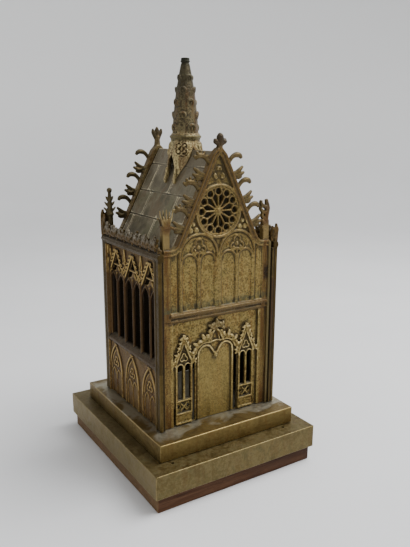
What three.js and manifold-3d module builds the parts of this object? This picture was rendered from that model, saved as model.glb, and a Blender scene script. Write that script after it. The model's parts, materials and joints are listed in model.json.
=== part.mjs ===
// A small neo-Gothic chapel reliquary in cast brass on a stepped plinth.
// Two gabled end walls and two windowed side walls stand on the plinth as a hollow box,
// a folded roof closes it, and a crocketed spire straddles the ridge.
// Millimetres, +Z up, origin at the centre of the underside, facade facing -Y.
import * as THREE from 'three';
import { mergeVertices } from 'three/addons/utils/BufferGeometryUtils.js';
import Module from 'manifold-3d';

const wasm = await Module();
wasm.setup();

// ---- driving dimensions ----
const GAP = 0.3;
const FACET = 0.06;

// Plinth: half sizes along X and Y, and levels.
const BOARD = { x: 66.3, y: 75.0, bottom: 0, top: 11, edge: 0.7 };
const LOWER = { x: 68.6, y: 77.3, bottom: 11.3, top: 28.5, edge: 0.7 };
const UPPER = { x: 57.8, y: 63.5, bottom: 28.8, top: 41.3, edge: 0.9 };
const FIXING_HOLE = { r: 1.15, depth: 7, x: 48.5, shiftX: -1.7, y: 66.7 };

// Chapel: where the walls stand, and how deep each layer of relief lies.
const FLOOR = UPPER.top + GAP;
const GABLE_Y = 45.7;
const SIDE_X = 48.85;
const RIGHT_WALL_OFFSET = 3.0;

const GABLE = {
  half: 44.5, back: -4.4, field: -2.7, storey: -1.0,
  borderInner: 37.4, edgeInner: 41.6, stringBottom: 123.4, stringTop: 127.6, fillet: 119.6,
  shoulderBottom: 166.8, shoulderTop: 171.5, apex: 238.2,
};
const RAKE = { footX: 31.5, footZ: 178.4, run: 0.4643, width: 4.4, proud: 1.8 };
const CROCKETS = { count: 6, firstZ: 228.4, pitch: 8.7, from: -3.0, to: 0.4 };
const ROSE = { z: 195.5, ring: 17.4, ringWidth: 1.8, petals: 12, eyeRadius: 13.6, eye: 2.2 };
const ARCADE = { x: 16.1, spring: 164.9, r: 14.7, strip: 1.7, lancetX: 7.3, lancetR: 6.3, drop: 4.8 };
const DOOR = { half: 15.4, head: 91.5, crown: 97.4, pendant: 90.6, strip: 1.4 };
const AEDICULE = { x: 27, half: 6.8, light: 4.9, lightBottom: 61.2, lightTop: 88 };
const PINNACLE = { x: 41.6, r: 2.7, neck: 183.8, rearX: 42.8, rearNeck: 186.4, depth: -2.2 };
const FOIL_POCKETS = [
  { x: 20.4, z: 184.2, reach: 2.3, r: 2.1 }, { x: -20.4, z: 184.2, reach: 2.3, r: 2.1 },
  { x: 16.1, z: 171.6, reach: 2.5, r: 2.1 }, { x: -16.1, z: 171.6, reach: 2.5, r: 2.1 },
  { x: 0, z: 221.4, reach: 2.9, r: 2.5 },
];

const SIDE = {
  end: 47.6, postInner: 39.8, innerEnd: 41.0, glazing: -4.1, back: -6.1,
  panel: -1.8, sillBottom: 86.4, sillTop: 91.2, corniceBottom: 164.7, corniceTop: 169.5,
};
const BAY = { count: 3, width: 27.44, spring: 132, head: 141.2, gableFoot: 144, gableApex: 160.6 };
const BLIND = { pitch: 28.8, half: 10.6, spring: 62, apex: 83.6, strip: 1.5 };
const CREST = { leaves: 7, pitch: 13.0, base: 172.6, top: 180.2, leftTip: 191, rightTip: 184 };
const FINIAL = { frontX: 0.9, frontTop: 248.6, rearTop: 252.6 };

const ROOF = { ridge: 236.7, slope: 61.8, eaveX: 35.6, ledgeX: 42.3, ledge: 169.9, sheet: 1.8, y: 40.9 };

const SPIRE = {
  skirtBottom: 209, skirtInner: 239, wall: 1.7, ringBottom: 243.4, ringTop: 247, tip: 300,
  cone: [[9.5, 248.6], [8.7, 261], [6.9, 276], [5.4, 283.5], [3.9, 291], [2.8, 297]],
  knobs: [251.1, 260.0, 268.9, 277.6, 286.1], knobRadius: 2.1,
  foilZ: 236.4, foilApothem: 12.1, foilReach: 2.3, foilR: 2, skirtLean: 11,
};

// ---- building helpers ----
const { PI, sin, cos, tan, hypot } = Math;
const rad = (degrees) => (degrees * PI) / 180;
const vector = ([x, y]) => new THREE.Vector2(x, y);
const mirrored = (points) => points.map(([x, y]) => [-x, y]).reverse();
const moved = (points, dx, dy) => points.map(([x, y]) => [x + dx, y + dy]);

function solid(geometry) {
  geometry.deleteAttribute('normal');
  geometry.deleteAttribute('uv');
  const merged = mergeVertices(geometry, 1e-4);
  return new wasm.Manifold(new wasm.Mesh({
    numProp: 3,
    vertProperties: new Float32Array(merged.attributes.position.array),
    triVerts: new Uint32Array(merged.index.array),
  }));
}

const joined = (solids) => solids.reduce((whole, piece) => whole.add(piece));
const cut = (whole, solids) => solids.reduce((rest, piece) => rest.subtract(piece), whole);

function node(name, body, material) {
  const { vertProperties, triVerts } = body.asOriginal().simplify(FACET).getMesh();
  const geometry = new THREE.BufferGeometry();
  geometry.setAttribute('position', new THREE.BufferAttribute(vertProperties, 3));
  geometry.setIndex(new THREE.BufferAttribute(triVerts, 1));
  const mesh = new THREE.Mesh(geometry, material);
  mesh.name = name;
  return mesh;
}

// Wall frames have X along the wall, Y up and Z outwards from the wall's face.
function prism(outline, from, to, holes = []) {
  const shape = new THREE.Shape(outline.map(vector));
  const geometry = new THREE.ExtrudeGeometry(shape, { depth: to - from, bevelEnabled: false });
  const body = solid(geometry.translate(0, 0, from));
  return cut(body, holes.map((hole) => prism(hole, from - 1, to + 1)));
}

// A plan drawn as [along the wall, outwards], raised from one level to another.
function column(plan, bottom, top) {
  const shape = new THREE.Shape(plan.map(([along, out]) => new THREE.Vector2(along, -out)));
  const geometry = new THREE.ExtrudeGeometry(shape, { depth: top - bottom, bevelEnabled: false });
  return solid(geometry.rotateX(-PI / 2).translate(0, bottom, 0));
}

// A moulding section drawn as [outwards, up], run along the wall.
function rail(section, from, to) {
  const shape = new THREE.Shape(section.map(([out, up]) => new THREE.Vector2(-out, up)));
  const geometry = new THREE.ExtrudeGeometry(shape, { depth: to - from, bevelEnabled: false });
  return solid(geometry.rotateY(PI / 2).translate(from, 0, 0));
}

function arc(x, y, radius, from, to, steps) {
  return Array.from({ length: steps + 1 }, (_, i) => {
    const angle = rad(from + ((to - from) * i) / steps);
    return [x + radius * cos(angle), y + radius * sin(angle)];
  });
}

function circle(x, y, radius, sides, start = 0) {
  return arc(x, y, radius, start, start + 360, sides).slice(0, sides);
}

// Each point of a line moved sideways, mitred at the corners.
function offset(points, distance, closed = false) {
  const last = points.length - 1;
  const direction = ([ax, ay], [bx, by]) => {
    const length = hypot(bx - ax, by - ay);
    return [(bx - ax) / length, (by - ay) / length];
  };
  return points.map((point, i) => {
    const before = i > 0 ? points[i - 1] : closed && points[last];
    const after = i < last ? points[i + 1] : closed && points[0];
    const d1 = before ? direction(before, point) : direction(point, after);
    const d2 = after ? direction(point, after) : d1;
    const scale = distance / (1 + d1[0] * d2[0] + d1[1] * d2[1]);
    return [point[0] - (d1[1] + d2[1]) * scale, point[1] + (d1[0] + d2[0]) * scale];
  });
}

// A raised strip that follows a line, open or closed on itself.
function strip(points, width, from, to) {
  const outline = [...offset(points, width / 2), ...offset(points, -width / 2).reverse()];
  return prism(outline, from, to);
}

function hoop(points, width, from, to) {
  return prism(offset(points, -width / 2, true), from, to, [offset(points, width / 2, true)]);
}

// A strip that thins from one width to another along a curve, such as a curled leaf.
function taper(curvePoints, widths, from, to) {
  const curve = new THREE.CubicBezierCurve(...curvePoints.map(vector));
  const steps = widths.length - 1;
  const points = curve.getPoints(steps);
  const left = [];
  const right = [];
  points.forEach((point, i) => {
    const tangent = curve.getTangent(i / steps);
    const half = widths[i] / 2;
    left.push([point.x - tangent.y * half, point.y + tangent.x * half]);
    right.push([point.x + tangent.y * half, point.y - tangent.x * half]);
  });
  return prism([...left, ...right.reverse()], from, to);
}

function knob(x, y, z, rx, ry, rz) {
  return solid(new THREE.IcosahedronGeometry(1, 0).scale(rx, ry, rz).translate(x, y, z));
}

// A small faceted leaf bud, pointed up, down and outwards.
function bud(x, y, z, rx, ry, rz) {
  return solid(new THREE.OctahedronGeometry(1, 0).rotateZ(PI / 4).scale(rx * 1.25, ry * 1.25, rz)
    .translate(x, y, z));
}

function pointedArch(x, half, bottom, spring, apex, steps) {
  const rise = apex - spring;
  const radius = (half * half + rise * rise) / (2 * half);
  const end = (Math.asin(rise / radius) * 180) / PI;
  const right = arc(x + half - radius, spring, radius, 0, end, steps);
  const left = mirrored(moved(right, -x, 0)).slice(1);
  return [[x + half, bottom], ...right, ...moved(left, x, 0), [x - half, bottom]];
}

function roundArch(x, half, bottom, spring, steps) {
  return [[x + half, bottom], ...arc(x, spring, half, 0, 180, steps), [x - half, bottom]];
}

// ---- gable walls ----
const rakeX = (z) => RAKE.footX - (z - RAKE.footZ) * RAKE.run;

function rakeLine() {
  return [
    [GABLE.half, GABLE.shoulderTop], [37.2, GABLE.shoulderTop], [33.8, 173.4],
    [RAKE.footX, RAKE.footZ], [rakeX(GABLE.apex), GABLE.apex],
  ];
}

function gableOutline() {
  const right = [[GABLE.half, FLOOR], ...rakeLine()];
  return [...right, ...mirrored(right)];
}

function rosePetal(angle) {
  const petal = [[3.4, 0], [9.7, 1.95], [12.2, 0], [9.7, -1.95]];
  const [c, s] = [cos(angle), sin(angle)];
  return petal.map(([x, y]) => [x * c - y * s, ROSE.z + x * s + y * c]);
}

function roseOpenings() {
  const step = 360 / ROSE.petals;
  return Array.from({ length: ROSE.petals }, (_, i) => {
    const [[x, y]] = arc(0, ROSE.z, ROSE.eyeRadius, 90 + i * step, 90 + i * step, 1);
    return [rosePetal(rad(90 + (i + 0.5) * step)), circle(x, y, ROSE.eye, 6)];
  }).flat();
}

// The rear rose is plainer: eight wedges between spokes.
function plainRoseOpenings() {
  return Array.from({ length: 8 }, (_, i) => {
    const middle = 22.5 + i * 45;
    const [[tipX, tipZ]] = arc(0, ROSE.z, 4.2, middle, middle, 1);
    return [[tipX, tipZ], ...arc(0, ROSE.z, 15.2, middle - 18, middle + 18, 3)];
  });
}

function rose() {
  return joined([
    hoop(circle(0, ROSE.z, ROSE.ring, 20), ROSE.ringWidth, GABLE.field, 0.5),
    bud(0, ROSE.z, -1.2, 1.8, 1.8, 1.4),
  ]);
}

function trefoil(x, z, reach, radius) {
  return [90, 210, 330].map((turn) => {
    const [[lobeX, lobeZ]] = arc(x, z, reach, turn, turn, 1);
    return circle(lobeX, lobeZ, radius, 5, 90);
  });
}

function coping() {
  const right = offset(rakeLine(), RAKE.width / 2);
  const inset = (points) => points.map(([x, z], i) => [i ? x : GABLE.half, z]);
  const line = [...inset(right), ...mirrored(inset(right))];
  const apexFree = line.filter(([x, z]) => Math.abs(x) > 1 || z < GABLE.apex - 2);
  return strip(apexFree, RAKE.width, -2, RAKE.proud);
}

// Curled hooks and three-lobed leaves take turns up each rake.
function hook(x, z) {
  const curve = [[-1.2, -1.4], [2.2, 4.2], [8, 6], [11.4, 2.2]].map(([a, b]) => [x + a, z + b]);
  return taper(curve, [3.6, 3.2, 3.4, 2.6], CROCKETS.from, CROCKETS.to);
}

function leaf(x, z) {
  const outline = [
    [-1, -1.8], [3.2, -2.4], [6.2, -2.5], [6.4, -0.8], [9.4, 1.6], [7.2, 2.7],
    [9.6, 6.2], [7.4, 6.4], [3.6, 2.4], [-1, 1.6],
  ];
  return prism(moved(outline, x, z), CROCKETS.from, CROCKETS.to);
}

function rakeCrockets() {
  return Array.from({ length: CROCKETS.count }, (_, i) => {
    const z = CROCKETS.firstZ - i * CROCKETS.pitch;
    const crocket = (i % 2 ? leaf : hook)(rakeX(z), z);
    return [crocket, crocket.mirror([1, 0, 0])];
  }).flat();
}

// The front finial is a squat three-lobed bud.
function frontFinial() {
  const { frontX: x, frontTop: top } = FINIAL;
  const foot = GABLE.apex - 3;
  return joined([
    prism([[x - 4.2, foot], [x + 3, foot], [x + 2.4, top - 7], [x - 2.4, top - 7]], -3, 0.4),
    knob(x, top - 3.2, -1.2, 2.6, 3.2, 2.6), bud(x - 2.7, top - 5.6, -1.2, 2.3, 2.4, 2.3),
    bud(x + 2.7, top - 5.6, -1.2, 2.3, 2.4, 2.3),
  ]);
}

// The rear finial is taller: a stem that flares into three lobes.
function rearFinial() {
  const top = FINIAL.rearTop;
  const right = [
    [3.2, GABLE.apex - 3], [2.5, top - 9], [4.4, top - 5.4], [4.8, top - 3], [2.6, top - 1.8], [0, top],
  ];
  return prism([...right, ...mirrored(right).slice(1)], -3, 0.4);
}

function turned(profile, sides, x, z) {
  const points = profile.map(vector);
  return solid(new THREE.LatheGeometry(points, sides).translate(x, 0, z));
}

function pinnacleShaft(x, neck) {
  const { r, depth } = PINNACLE;
  const foot = GABLE.shoulderTop - 1;
  const collar = [[r, neck - 1], [r + 0.8, neck + 0.4], [r, neck + 1.8]];
  return turned([[0, foot], [r, foot], ...collar, [0, neck + 1.8]], 6, x, depth);
}

// The right-hand head has lost its outer leaves: three curl inwards from a smooth bowed back.
function curledHead() {
  const { x, neck } = PINNACLE;
  const foot = neck + 1;
  const back = taper([[x + 0.4, foot], [x + 3.4, foot + 6], [x + 2.6, foot + 12], [x - 2, foot + 17]],
    [5.2, 5, 4.2, 1.6], -4.2, -0.2);
  const curl = (z, reach) => taper(
    [[x + 1.4, z - 4], [x - 1, z - 1.6], [x - reach + 1, z - 1.4], [x - reach, z + 0.6]],
    [3, 2.4, 1.8], -3.8, -0.6,
  );
  return joined([back, curl(foot + 4, 6), curl(foot + 9, 6.4), curl(foot + 14, 5)]);
}

// The left-hand head is broken off above a fan of upright leaves.
function fanHead() {
  const { neck, depth } = PINNACLE;
  const x = -PINNACLE.x;
  const foot = neck + 1;
  const blades = [-5.4, -3, -0.6, 2, 4.4].map((lean, i) => {
    const out = i % 2 ? -1.4 : -0.4;
    const line = [[x + lean * 0.25, foot], [x + lean * 0.5, foot + 4], [x + lean * 0.8, foot + 8],
      [x + lean, foot + 14.6]];
    return taper(line, [2.8, 2.4, 1.4], out - 2.2, out);
  });
  const cup = turned([[0, foot], [3, foot], [4.2, foot + 3.6], [3, foot + 6], [0, foot + 6]], 6, x, depth);
  return joined([cup, ...blades]);
}

// Whole rear pinnacles: three tiers of spiky leaves below a ball.
function spikyHead(x) {
  const { rearNeck: foot, depth } = PINNACLE;
  const tiers = [[4.2, 5.4], [8.5, 4.4], [12.6, 3.2]].map(([up, reach]) => {
    const z = foot + up;
    return prism([
      [x - 1.6, z - 3.4], [x + 1.6, z - 3.4], [x + reach, z + 0.6], [x + reach - 1.4, z + 0.9],
      [x, z + 0.2], [x - reach + 1.4, z + 0.9], [x - reach, z + 0.6],
    ], -4, -0.4);
  });
  const stem = turned([[0, foot], [2.4, foot], [1.2, foot + 16.6], [0, foot + 16.6]], 5, x, depth);
  return joined([stem, ...tiers, knob(x, foot + 17.8, depth, 2.2, 2.2, 2.2)]);
}

// Arches stand on the string course in relief.
function reliefArch(x, radius, spring, width, out) {
  return strip(roundArch(x, radius, GABLE.stringTop - 1, spring, 7), width, GABLE.storey - 1, out);
}

function upperArcade() {
  const { x, r, spring, strip: width } = ARCADE;
  return [-x, x].map((centre) => reliefArch(centre, r, spring, width, 0.2));
}

function upperLancets() {
  const { x, spring, lancetX, lancetR, drop } = ARCADE;
  return [-x - lancetX, -x + lancetX, x - lancetX, x + lancetX].map(
    (centre) => reliefArch(centre, lancetR, spring - drop, 1.2, -0.3));
}

function gablePlate(lowerOpenings, roseHoles) {
  const outline = gableOutline();
  const storey = outline.map(([x, z]) => [x, Math.max(z, GABLE.fillet)]);
  const border = (inner, top, out) => {
    const strip = [[inner, FLOOR], [GABLE.half, FLOOR], [GABLE.half, top], [inner, top]];
    return [strip, mirrored(strip)].map((side) => prism(side, GABLE.field - 1, out));
  };
  return joined([
    prism(outline, GABLE.back, GABLE.field, [...lowerOpenings, ...roseHoles]),
    prism(storey, GABLE.field, GABLE.storey, roseHoles),
    ...border(GABLE.borderInner, GABLE.fillet + 2, -0.5),
    ...border(GABLE.edgeInner, GABLE.shoulderBottom + 1, 0.2),
  ]);
}

function stringCourse() {
  const { stringBottom: low, stringTop: high, fillet, edgeInner: end, storey } = GABLE;
  const course = [[-3, low], [0.9, low], [1.7, low + 1], [1.7, low + 1.8], [storey, high], [-3, high]];
  const bead = [[-3, fillet], [0.1, fillet], [0.6, fillet + 0.9], [0.1, fillet + 1.8], [-3, fillet + 1.8]];
  return joined([rail(course, -end - 1, end + 1), rail(bead, -end, end)]);
}

function foilPockets() {
  return FOIL_POCKETS.flatMap(({ x, z, reach, r }) => trefoil(x, z, reach, r))
    .map((lobe) => prism(lobe, GABLE.storey - 1, GABLE.storey + 1));
}

// ---- facade only: door, windows and their leafy crests ----
function doorFrame() {
  const { half, head, crown, pendant, strip: width } = DOOR;
  const lobe = [[half, FLOOR + 1], [half, head], [half - 1.8, crown - 1.4], [half - 5.6, crown]];
  const right = [...lobe, [4.6, crown - 1.6], [1.6, pendant + 2], [0, pendant]];
  const line = [...right, ...mirrored(right).slice(1)];
  return strip(line, width, GABLE.field - 1, -1.2);
}

function doorCrest() {
  const ogee = [[17.6, 93.5], [12.5, 99.6], [5.4, 101.8], [1.8, 107.5], [0, 113]];
  const line = [...ogee, ...mirrored(ogee).slice(1)];
  const root = GABLE.field + 0.4;
  const leaves = [[17.8, 96.8, 2.8], [10.6, 103, 2.8], [6.2, 109.4, 2.9]].flatMap(
    ([x, z, r]) => [bud(x, z, root, r, r, 1.6), bud(-x, z, root, r, r, 1.6)]);
  return joined([
    strip(line, 2.2, GABLE.field - 1, -1.2), ...leaves,
    bud(0, 116.4, root, 2.2, 3.2, 1.8), bud(0, 103, root, 3, 3.4, 1.6),
  ]);
}

function aedicule(side) {
  const { x: offsetX, half, lightBottom, lightTop } = AEDICULE;
  const x = side * offsetX;
  const [back, root, face] = [GABLE.field - 1, GABLE.field + 0.4, -0.9];
  const jambTop = lightTop + 2;
  const block = (x0, x1, z0, z1, out) => prism([[x0, z0], [x1, z0], [x1, z1], [x0, z1]], back, out);
  const gablet = [[half + 0.6, lightTop - 1.6], [0, lightTop + 15]];
  const gabletLine = moved([...gablet, ...mirrored(gablet).slice(1)], x, 0);
  const leaves = [[7, 3, 2.2], [4.2, 9, 2]].flatMap(([dx, dz, r]) => [-1, 1].map(
    (hand) => bud(x + hand * dx, lightTop + dz, root, r, r, 1.4)));
  return joined([
    block(x - half, x + half, FLOOR + 1, 49.6, -1.2),
    block(x - half, x + half, 49.4, 50.9, face), block(x - half, x + half, 59.4, 61, face),
    block(x - half, x - half + 1.3, 49, jambTop, face), block(x + half - 1.3, x + half, 49, jambTop, face),
    block(x - 0.6, x + 0.6, lightBottom - 1, lightTop - 1, face),
    strip(gabletLine, 1.7, back, face), ...leaves,
    bud(x, lightTop + 17, root, 2, 3.4, 1.5), bud(x, lightTop + 5, root, 2.2, 2.2, 1.2),
  ]);
}

function aediculeOpenings(side) {
  const { x: offsetX, light, lightBottom, lightTop } = AEDICULE;
  const x = side * offsetX;
  const lights = [-1, 1].map(
    (hand) => roundArch(x + hand * 3.05, light / 2, lightBottom, lightTop - light / 2, 5));
  const foilHoles = [[-2.9, 53.4], [2.9, 53.4], [-2.9, 57.2], [2.9, 57.2]].map(
    ([dx, z]) => circle(x + dx, z, 1.4, 4));
  return [...lights, ...foilHoles];
}

function panelSlots(side) {
  const slot = (x0, x1, top) => {
    const outline = [[x0, FLOOR - 1], [x1, FLOOR - 1], [x1, top], [x0, top]];
    return prism(outline.map(([x, z]) => [side * x, z]), GABLE.back - 1, GABLE.field + 1.5);
  };
  return [slot(17.0, 19.9, 88.5), slot(34, 35.7, 55)];
}

function gableWall(lowerOpenings, roseHoles, ornaments) {
  return joined([
    gablePlate(lowerOpenings, roseHoles), coping(), stringCourse(), rose(),
    ...upperArcade(), ...rakeCrockets(), ...ornaments,
  ]);
}

function frontWall() {
  const openings = [...aediculeOpenings(-1), ...aediculeOpenings(1)];
  const wall = gableWall(openings, roseOpenings(), [
    frontFinial(), ...upperLancets(), doorFrame(), doorCrest(), aedicule(-1), aedicule(1),
    pinnacleShaft(-PINNACLE.x, PINNACLE.neck), pinnacleShaft(PINNACLE.x, PINNACLE.neck),
    fanHead(), curledHead(),
  ]);
  return cut(wall, [...foilPockets(), ...panelSlots(-1), ...panelSlots(1)]);
}

function rearWall() {
  const { rearX, rearNeck } = PINNACLE;
  const panel = [[28, FLOOR + 5], [28, 112], [-28, 112], [-28, FLOOR + 5]];
  const pinnacles = [-rearX, rearX].flatMap((x) => [pinnacleShaft(x, rearNeck), spikyHead(x)]);
  return gableWall([], plainRoseOpenings(), [
    rearFinial(), hoop(panel, 1.6, GABLE.field - 1, -1.4), ...pinnacles,
  ]);
}

// ---- side walls ----
const bayCentres = Array.from({ length: BAY.count }, (_, i) => (i - (BAY.count - 1) / 2) * BAY.width);

function lancets() {
  const quarter = BAY.width / 4;
  return bayCentres.flatMap((u) => [-1, 1].map(
    (hand) => pointedArch(u + hand * quarter, quarter - 1.2, SIDE.sillTop - 2, BAY.spring, BAY.head, 2)));
}

function tympanumOpenings() {
  return bayCentres.flatMap((u) => [
    [[u - 2.4, 150.4], [u + 2.4, 150.4], [u + 1.6, 154], [u, 157], [u - 1.6, 154]],
    [[u + 3.6, 143], [u + 9.6, 143], [u + 6.8, 148.2], [u + 4, 146.4]],
    [[u - 9.6, 143], [u - 3.6, 143], [u - 4, 146.4], [u - 6.8, 148.2]],
  ]);
}

function windowZone() {
  const { innerEnd: end, sillBottom, sillTop, corniceBottom, back, glazing } = SIDE;
  const [low, high] = [sillBottom - 2, corniceBottom + 1];
  const outline = [[-end, low], [end, low], [end, high], [-end, high]];
  const plate = prism(outline, back, glazing, [...lancets(), ...tympanumOpenings()]);
  const upright = (u, half) => prism([
    [u - half, sillTop - 2], [u + half, sillTop - 2], [u + half, BAY.head + 2], [u - half, BAY.head + 2],
  ], back, glazing + 1.5);
  const mullions = bayCentres.map((u) => upright(u, 0.85));
  const piers = [-0.5, 0.5].map((step) => upright(step * BAY.width, 1.2));
  const run = BAY.width / 2 - 0.8;
  const foot = BAY.gableFoot - 4;
  const gables = bayCentres.map((u) => strip(
    [[u + run, foot], [u, BAY.gableApex], [u - run, foot]], 1.8, back + 1, glazing + 1.8));
  const heads = bayCentres.map((u) => bud(u, 147, glazing, 2.2, 2.2, 1.4));
  return joined([plate, ...mullions, ...piers, ...gables, ...heads]);
}

function spandrelBuds() {
  const ends = SIDE.innerEnd - 2.6;
  return [-ends, -BAY.width / 2, BAY.width / 2, ends].map((u) => bud(u, 157.6, SIDE.glazing, 3, 4.4, 2));
}

function corners(side) {
  const { end, postInner, innerEnd, glazing, back } = SIDE;
  const plan = [
    [innerEnd - 4.2, back], [innerEnd, back], [innerEnd, glazing + 0.2], [end, glazing + 0.2],
    [end, -0.9], [end - 0.9, 0], [postInner, 0], [innerEnd - 4.2, glazing],
  ].map(([u, w]) => [side * u, w]);
  return column(plan, FLOOR, SIDE.corniceBottom + 0.5);
}

function blindArcade() {
  const { pitch, half, spring, apex, strip: width } = BLIND;
  const foot = FLOOR + 2.4;
  const inset = half - 2.6;
  const cusps = [[inset, foot], [inset, spring - 3], [2.8, spring - 1], [4.6, spring + 6]];
  return [-pitch, 0, pitch].map((u) => {
    const outer = pointedArch(u, half, foot, spring, apex, 3);
    const inner = moved([...cusps, [0, spring + 13], ...mirrored(cusps)], u, 0);
    return joined([
      strip(outer, width, SIDE.panel - 1, SIDE.panel + 1.3),
      strip(inner, 1.1, SIDE.panel - 1, SIDE.panel + 0.8),
    ]);
  });
}

function lowerPanel() {
  const { innerEnd: end, back, panel, sillBottom, sillTop, glazing } = SIDE;
  const field = [[-end, FLOOR], [end, FLOOR], [end, sillBottom + 1], [-end, sillBottom + 1]];
  const sill = [
    [back, sillBottom - 1], [-0.9, sillBottom - 1], [-0.2, sillBottom], [-0.2, sillBottom + 1.4],
    [glazing, sillTop], [back, sillTop],
  ];
  return joined([prism(field, back, panel), rail(sill, -end, end), ...blindArcade()]);
}

function cornice() {
  const { end, innerEnd, glazing, back, corniceBottom: low, corniceTop: high } = SIDE;
  const plan = (out) => [[-end, out], [end, out], [end, glazing + 0.2], [innerEnd, glazing + 0.2],
    [innerEnd, back], [-innerEnd, back], [-innerEnd, glazing + 0.2], [-end, glazing + 0.2]];
  return joined([
    column(plan(0), low, low + 1.4), column(plan(0.7), low + 1.2, high - 1.2),
    column(plan(0.2), high - 1.3, high),
  ]);
}

// The pierced parapet: three-lobed leaves in a row, and a tall leaf at its left-hand end.
function parapet(tip) {
  const { leaves, pitch, base, top } = CREST;
  const [from, to] = [SIDE.glazing + 1.1, -0.6];
  const end = SIDE.end - 0.2;
  const foot = SIDE.corniceTop - 1;
  const band = prism([[-end, foot], [end, foot], [end, base], [-end, base]], from, to);
  const bloom = (u) => prism([
    [u - 2.8, base - 1], [u + 2.8, base - 1], [u + 5.2, base + 3.6], [u + 3.4, top - 1.4],
    [u + 1.4, top - 2.4], [u, top], [u - 1.4, top - 2.4], [u - 3.4, top - 1.4], [u - 5.2, base + 3.6],
  ], from, to);
  const row = Array.from({ length: leaves }, (_, i) => bloom((i - (leaves - 1) / 2) * pitch));
  const tall = prism([
    [-end, base - 1], [5 - end, base - 1], [3.6 - end, tip - 6], [1.2 - end, tip], [-end, tip - 2.4],
  ], to - 1.2, 0.4);
  return joined([band, ...row, tall]);
}

function sideWall(tip) {
  return joined([
    lowerPanel(), windowZone(), cornice(), parapet(tip), corners(-1), corners(1), ...spandrelBuds(),
  ]);
}

// ---- roof and spire ----
const roofZ = (x) => ROOF.ridge - Math.abs(x) * tan(rad(ROOF.slope));

// One folded sheet with a level gutter ledge along each side wall.
function roof() {
  const { ridge, slope, eaveX, ledgeX, ledge, sheet, y } = ROOF;
  const innerRidge = ridge - sheet / cos(rad(slope));
  const innerEave = (innerRidge - ledge + sheet) / tan(rad(slope));
  const right = [[ledgeX, ledge - sheet], [ledgeX, ledge], [eaveX, ledge], [0, ridge]];
  const inner = [[-innerEave, ledge - sheet], [0, innerRidge], [innerEave, ledge - sheet]];
  const shape = new THREE.Shape([...right, ...mirrored(right).slice(1), ...inner].map(vector));
  const geometry = new THREE.ExtrudeGeometry(shape, { depth: 2 * y, bevelEnabled: false });
  return solid(geometry.rotateX(PI / 2).translate(0, y, 0));
}

function octagon(profile) {
  const toCorner = 1 / cos(PI / 8);
  const points = profile.map(([apothem, z]) => new THREE.Vector2(apothem * toCorner, z));
  return solid(new THREE.LatheGeometry(points, 8, PI / 8).rotateX(PI / 2));
}

function coneApothem(z) {
  const above = SPIRE.cone.findIndex(([, level]) => level >= z);
  const [[low, z0], [high, z1]] = [SPIRE.cone[above - 1], SPIRE.cone[above]];
  return low + ((z - z0) * (high - low)) / (z1 - z0);
}

function spireBody() {
  const { skirtBottom, skirtInner, wall, ringBottom, ringTop, tip } = SPIRE;
  return octagon([
    [0, skirtInner], [10.9 - wall, skirtInner], [12.3 - wall, 232], [13.4 - wall, skirtBottom],
    [13.4, skirtBottom], [12.4, 234], [10.2, ringBottom], [10.7, ringBottom + 0.7], [10.7, ringTop - 0.8],
    [9.8, ringTop], ...SPIRE.cone, [3.2, 297.6], [3.2, tip], [1.4, tip], [1.4, 296], [0, 296],
  ]);
}

function aboveRoof() {
  const clearance = GAP / cos(rad(ROOF.slope));
  const wide = 40;
  const foot = roofZ(wide) + clearance;
  const shape = new THREE.Shape([[-wide, foot], [wide, foot], [0, ROOF.ridge + clearance]].map(vector));
  const geometry = new THREE.ExtrudeGeometry(shape, { depth: 60, bevelEnabled: false });
  return solid(geometry.rotateX(PI / 2).translate(0, 30, 0));
}

function skirtArches() {
  const outline = [[-5.2, 200], [5.2, 200], [5.2, 222], [3.4, 228], [0, 232.4], [-3.4, 228], [-5.2, 222]];
  const shape = new THREE.Shape(outline.map(vector));
  const geometry = new THREE.ExtrudeGeometry(shape, { depth: 40, bevelEnabled: false });
  return solid(geometry.rotateX(PI / 2).translate(0, 20, 0).rotateZ(PI / 2));
}

// A four-lobed boss on each diagonal face of the skirt.
function quatrefoil(azimuth) {
  const { skirtLean, foilApothem, foilZ, foilReach: reach, foilR } = SPIRE;
  const lobes = [0, 90, 180, 270].flatMap((turn) => {
    const [[x, y]] = arc(0, 0, reach, turn, turn, 1);
    return arc(x, y, foilR, turn - 66, turn + 66, 2);
  });
  return prism(lobes, -1, 0.9).rotate([90 - skirtLean, 0, 0])
    .translate([0, -foilApothem, foilZ]).rotate([0, 0, azimuth + 90]);
}

function spireKnobs() {
  const { knobs, knobRadius: r } = SPIRE;
  return knobs.flatMap((z, row) => [0, 90, 180, 270].map((quarter) => {
    const turn = quarter + (row % 2 ? 45 : 0);
    return bud(0, 0, 0, r * 0.8, r, r).rotate([90, 0, 0])
      .translate([0, -coneApothem(z) - 0.2, z]).rotate([0, 0, turn]);
  }));
}

function spire() {
  const scrolls = [[-1, -1], [-1, 1], [1, -1], [1, 1]].map(
    ([sx, sy]) => bud(sx * 14, sy * 6.4, 213.4, 1.5, 1.5, 2.2));
  const body = joined([spireBody(), ...[45, 135, 225, 315].map(quatrefoil), ...spireKnobs()]);
  return cut(joined([cut(body, [skirtArches()]), ...scrolls]), [aboveRoof()]);
}

// ---- plinth ----
function slab({ x, y, bottom, top, edge }) {
  const outline = [[-x, -y], [x, -y], [x, y], [-x, y]].map(vector);
  const geometry = new THREE.ExtrudeGeometry(new THREE.Shape(outline), {
    depth: top - bottom - 2 * edge,
    bevelSize: edge, bevelThickness: edge, bevelOffset: -edge, bevelSegments: 2,
  });
  return solid(geometry.translate(0, 0, bottom + edge));
}

function fixingHoles() {
  const { r, depth, x, shiftX, y } = FIXING_HOLE;
  return [[-1, -1], [1, -1], [1, 1], [-1, 1]].map(([sx, sy]) => solid(
    new THREE.CylinderGeometry(r, r, depth, 6).rotateX(PI / 2)
      .translate(sx * x + shiftX, sy * y, LOWER.top + 0.5 - depth / 2)));
}

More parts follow.
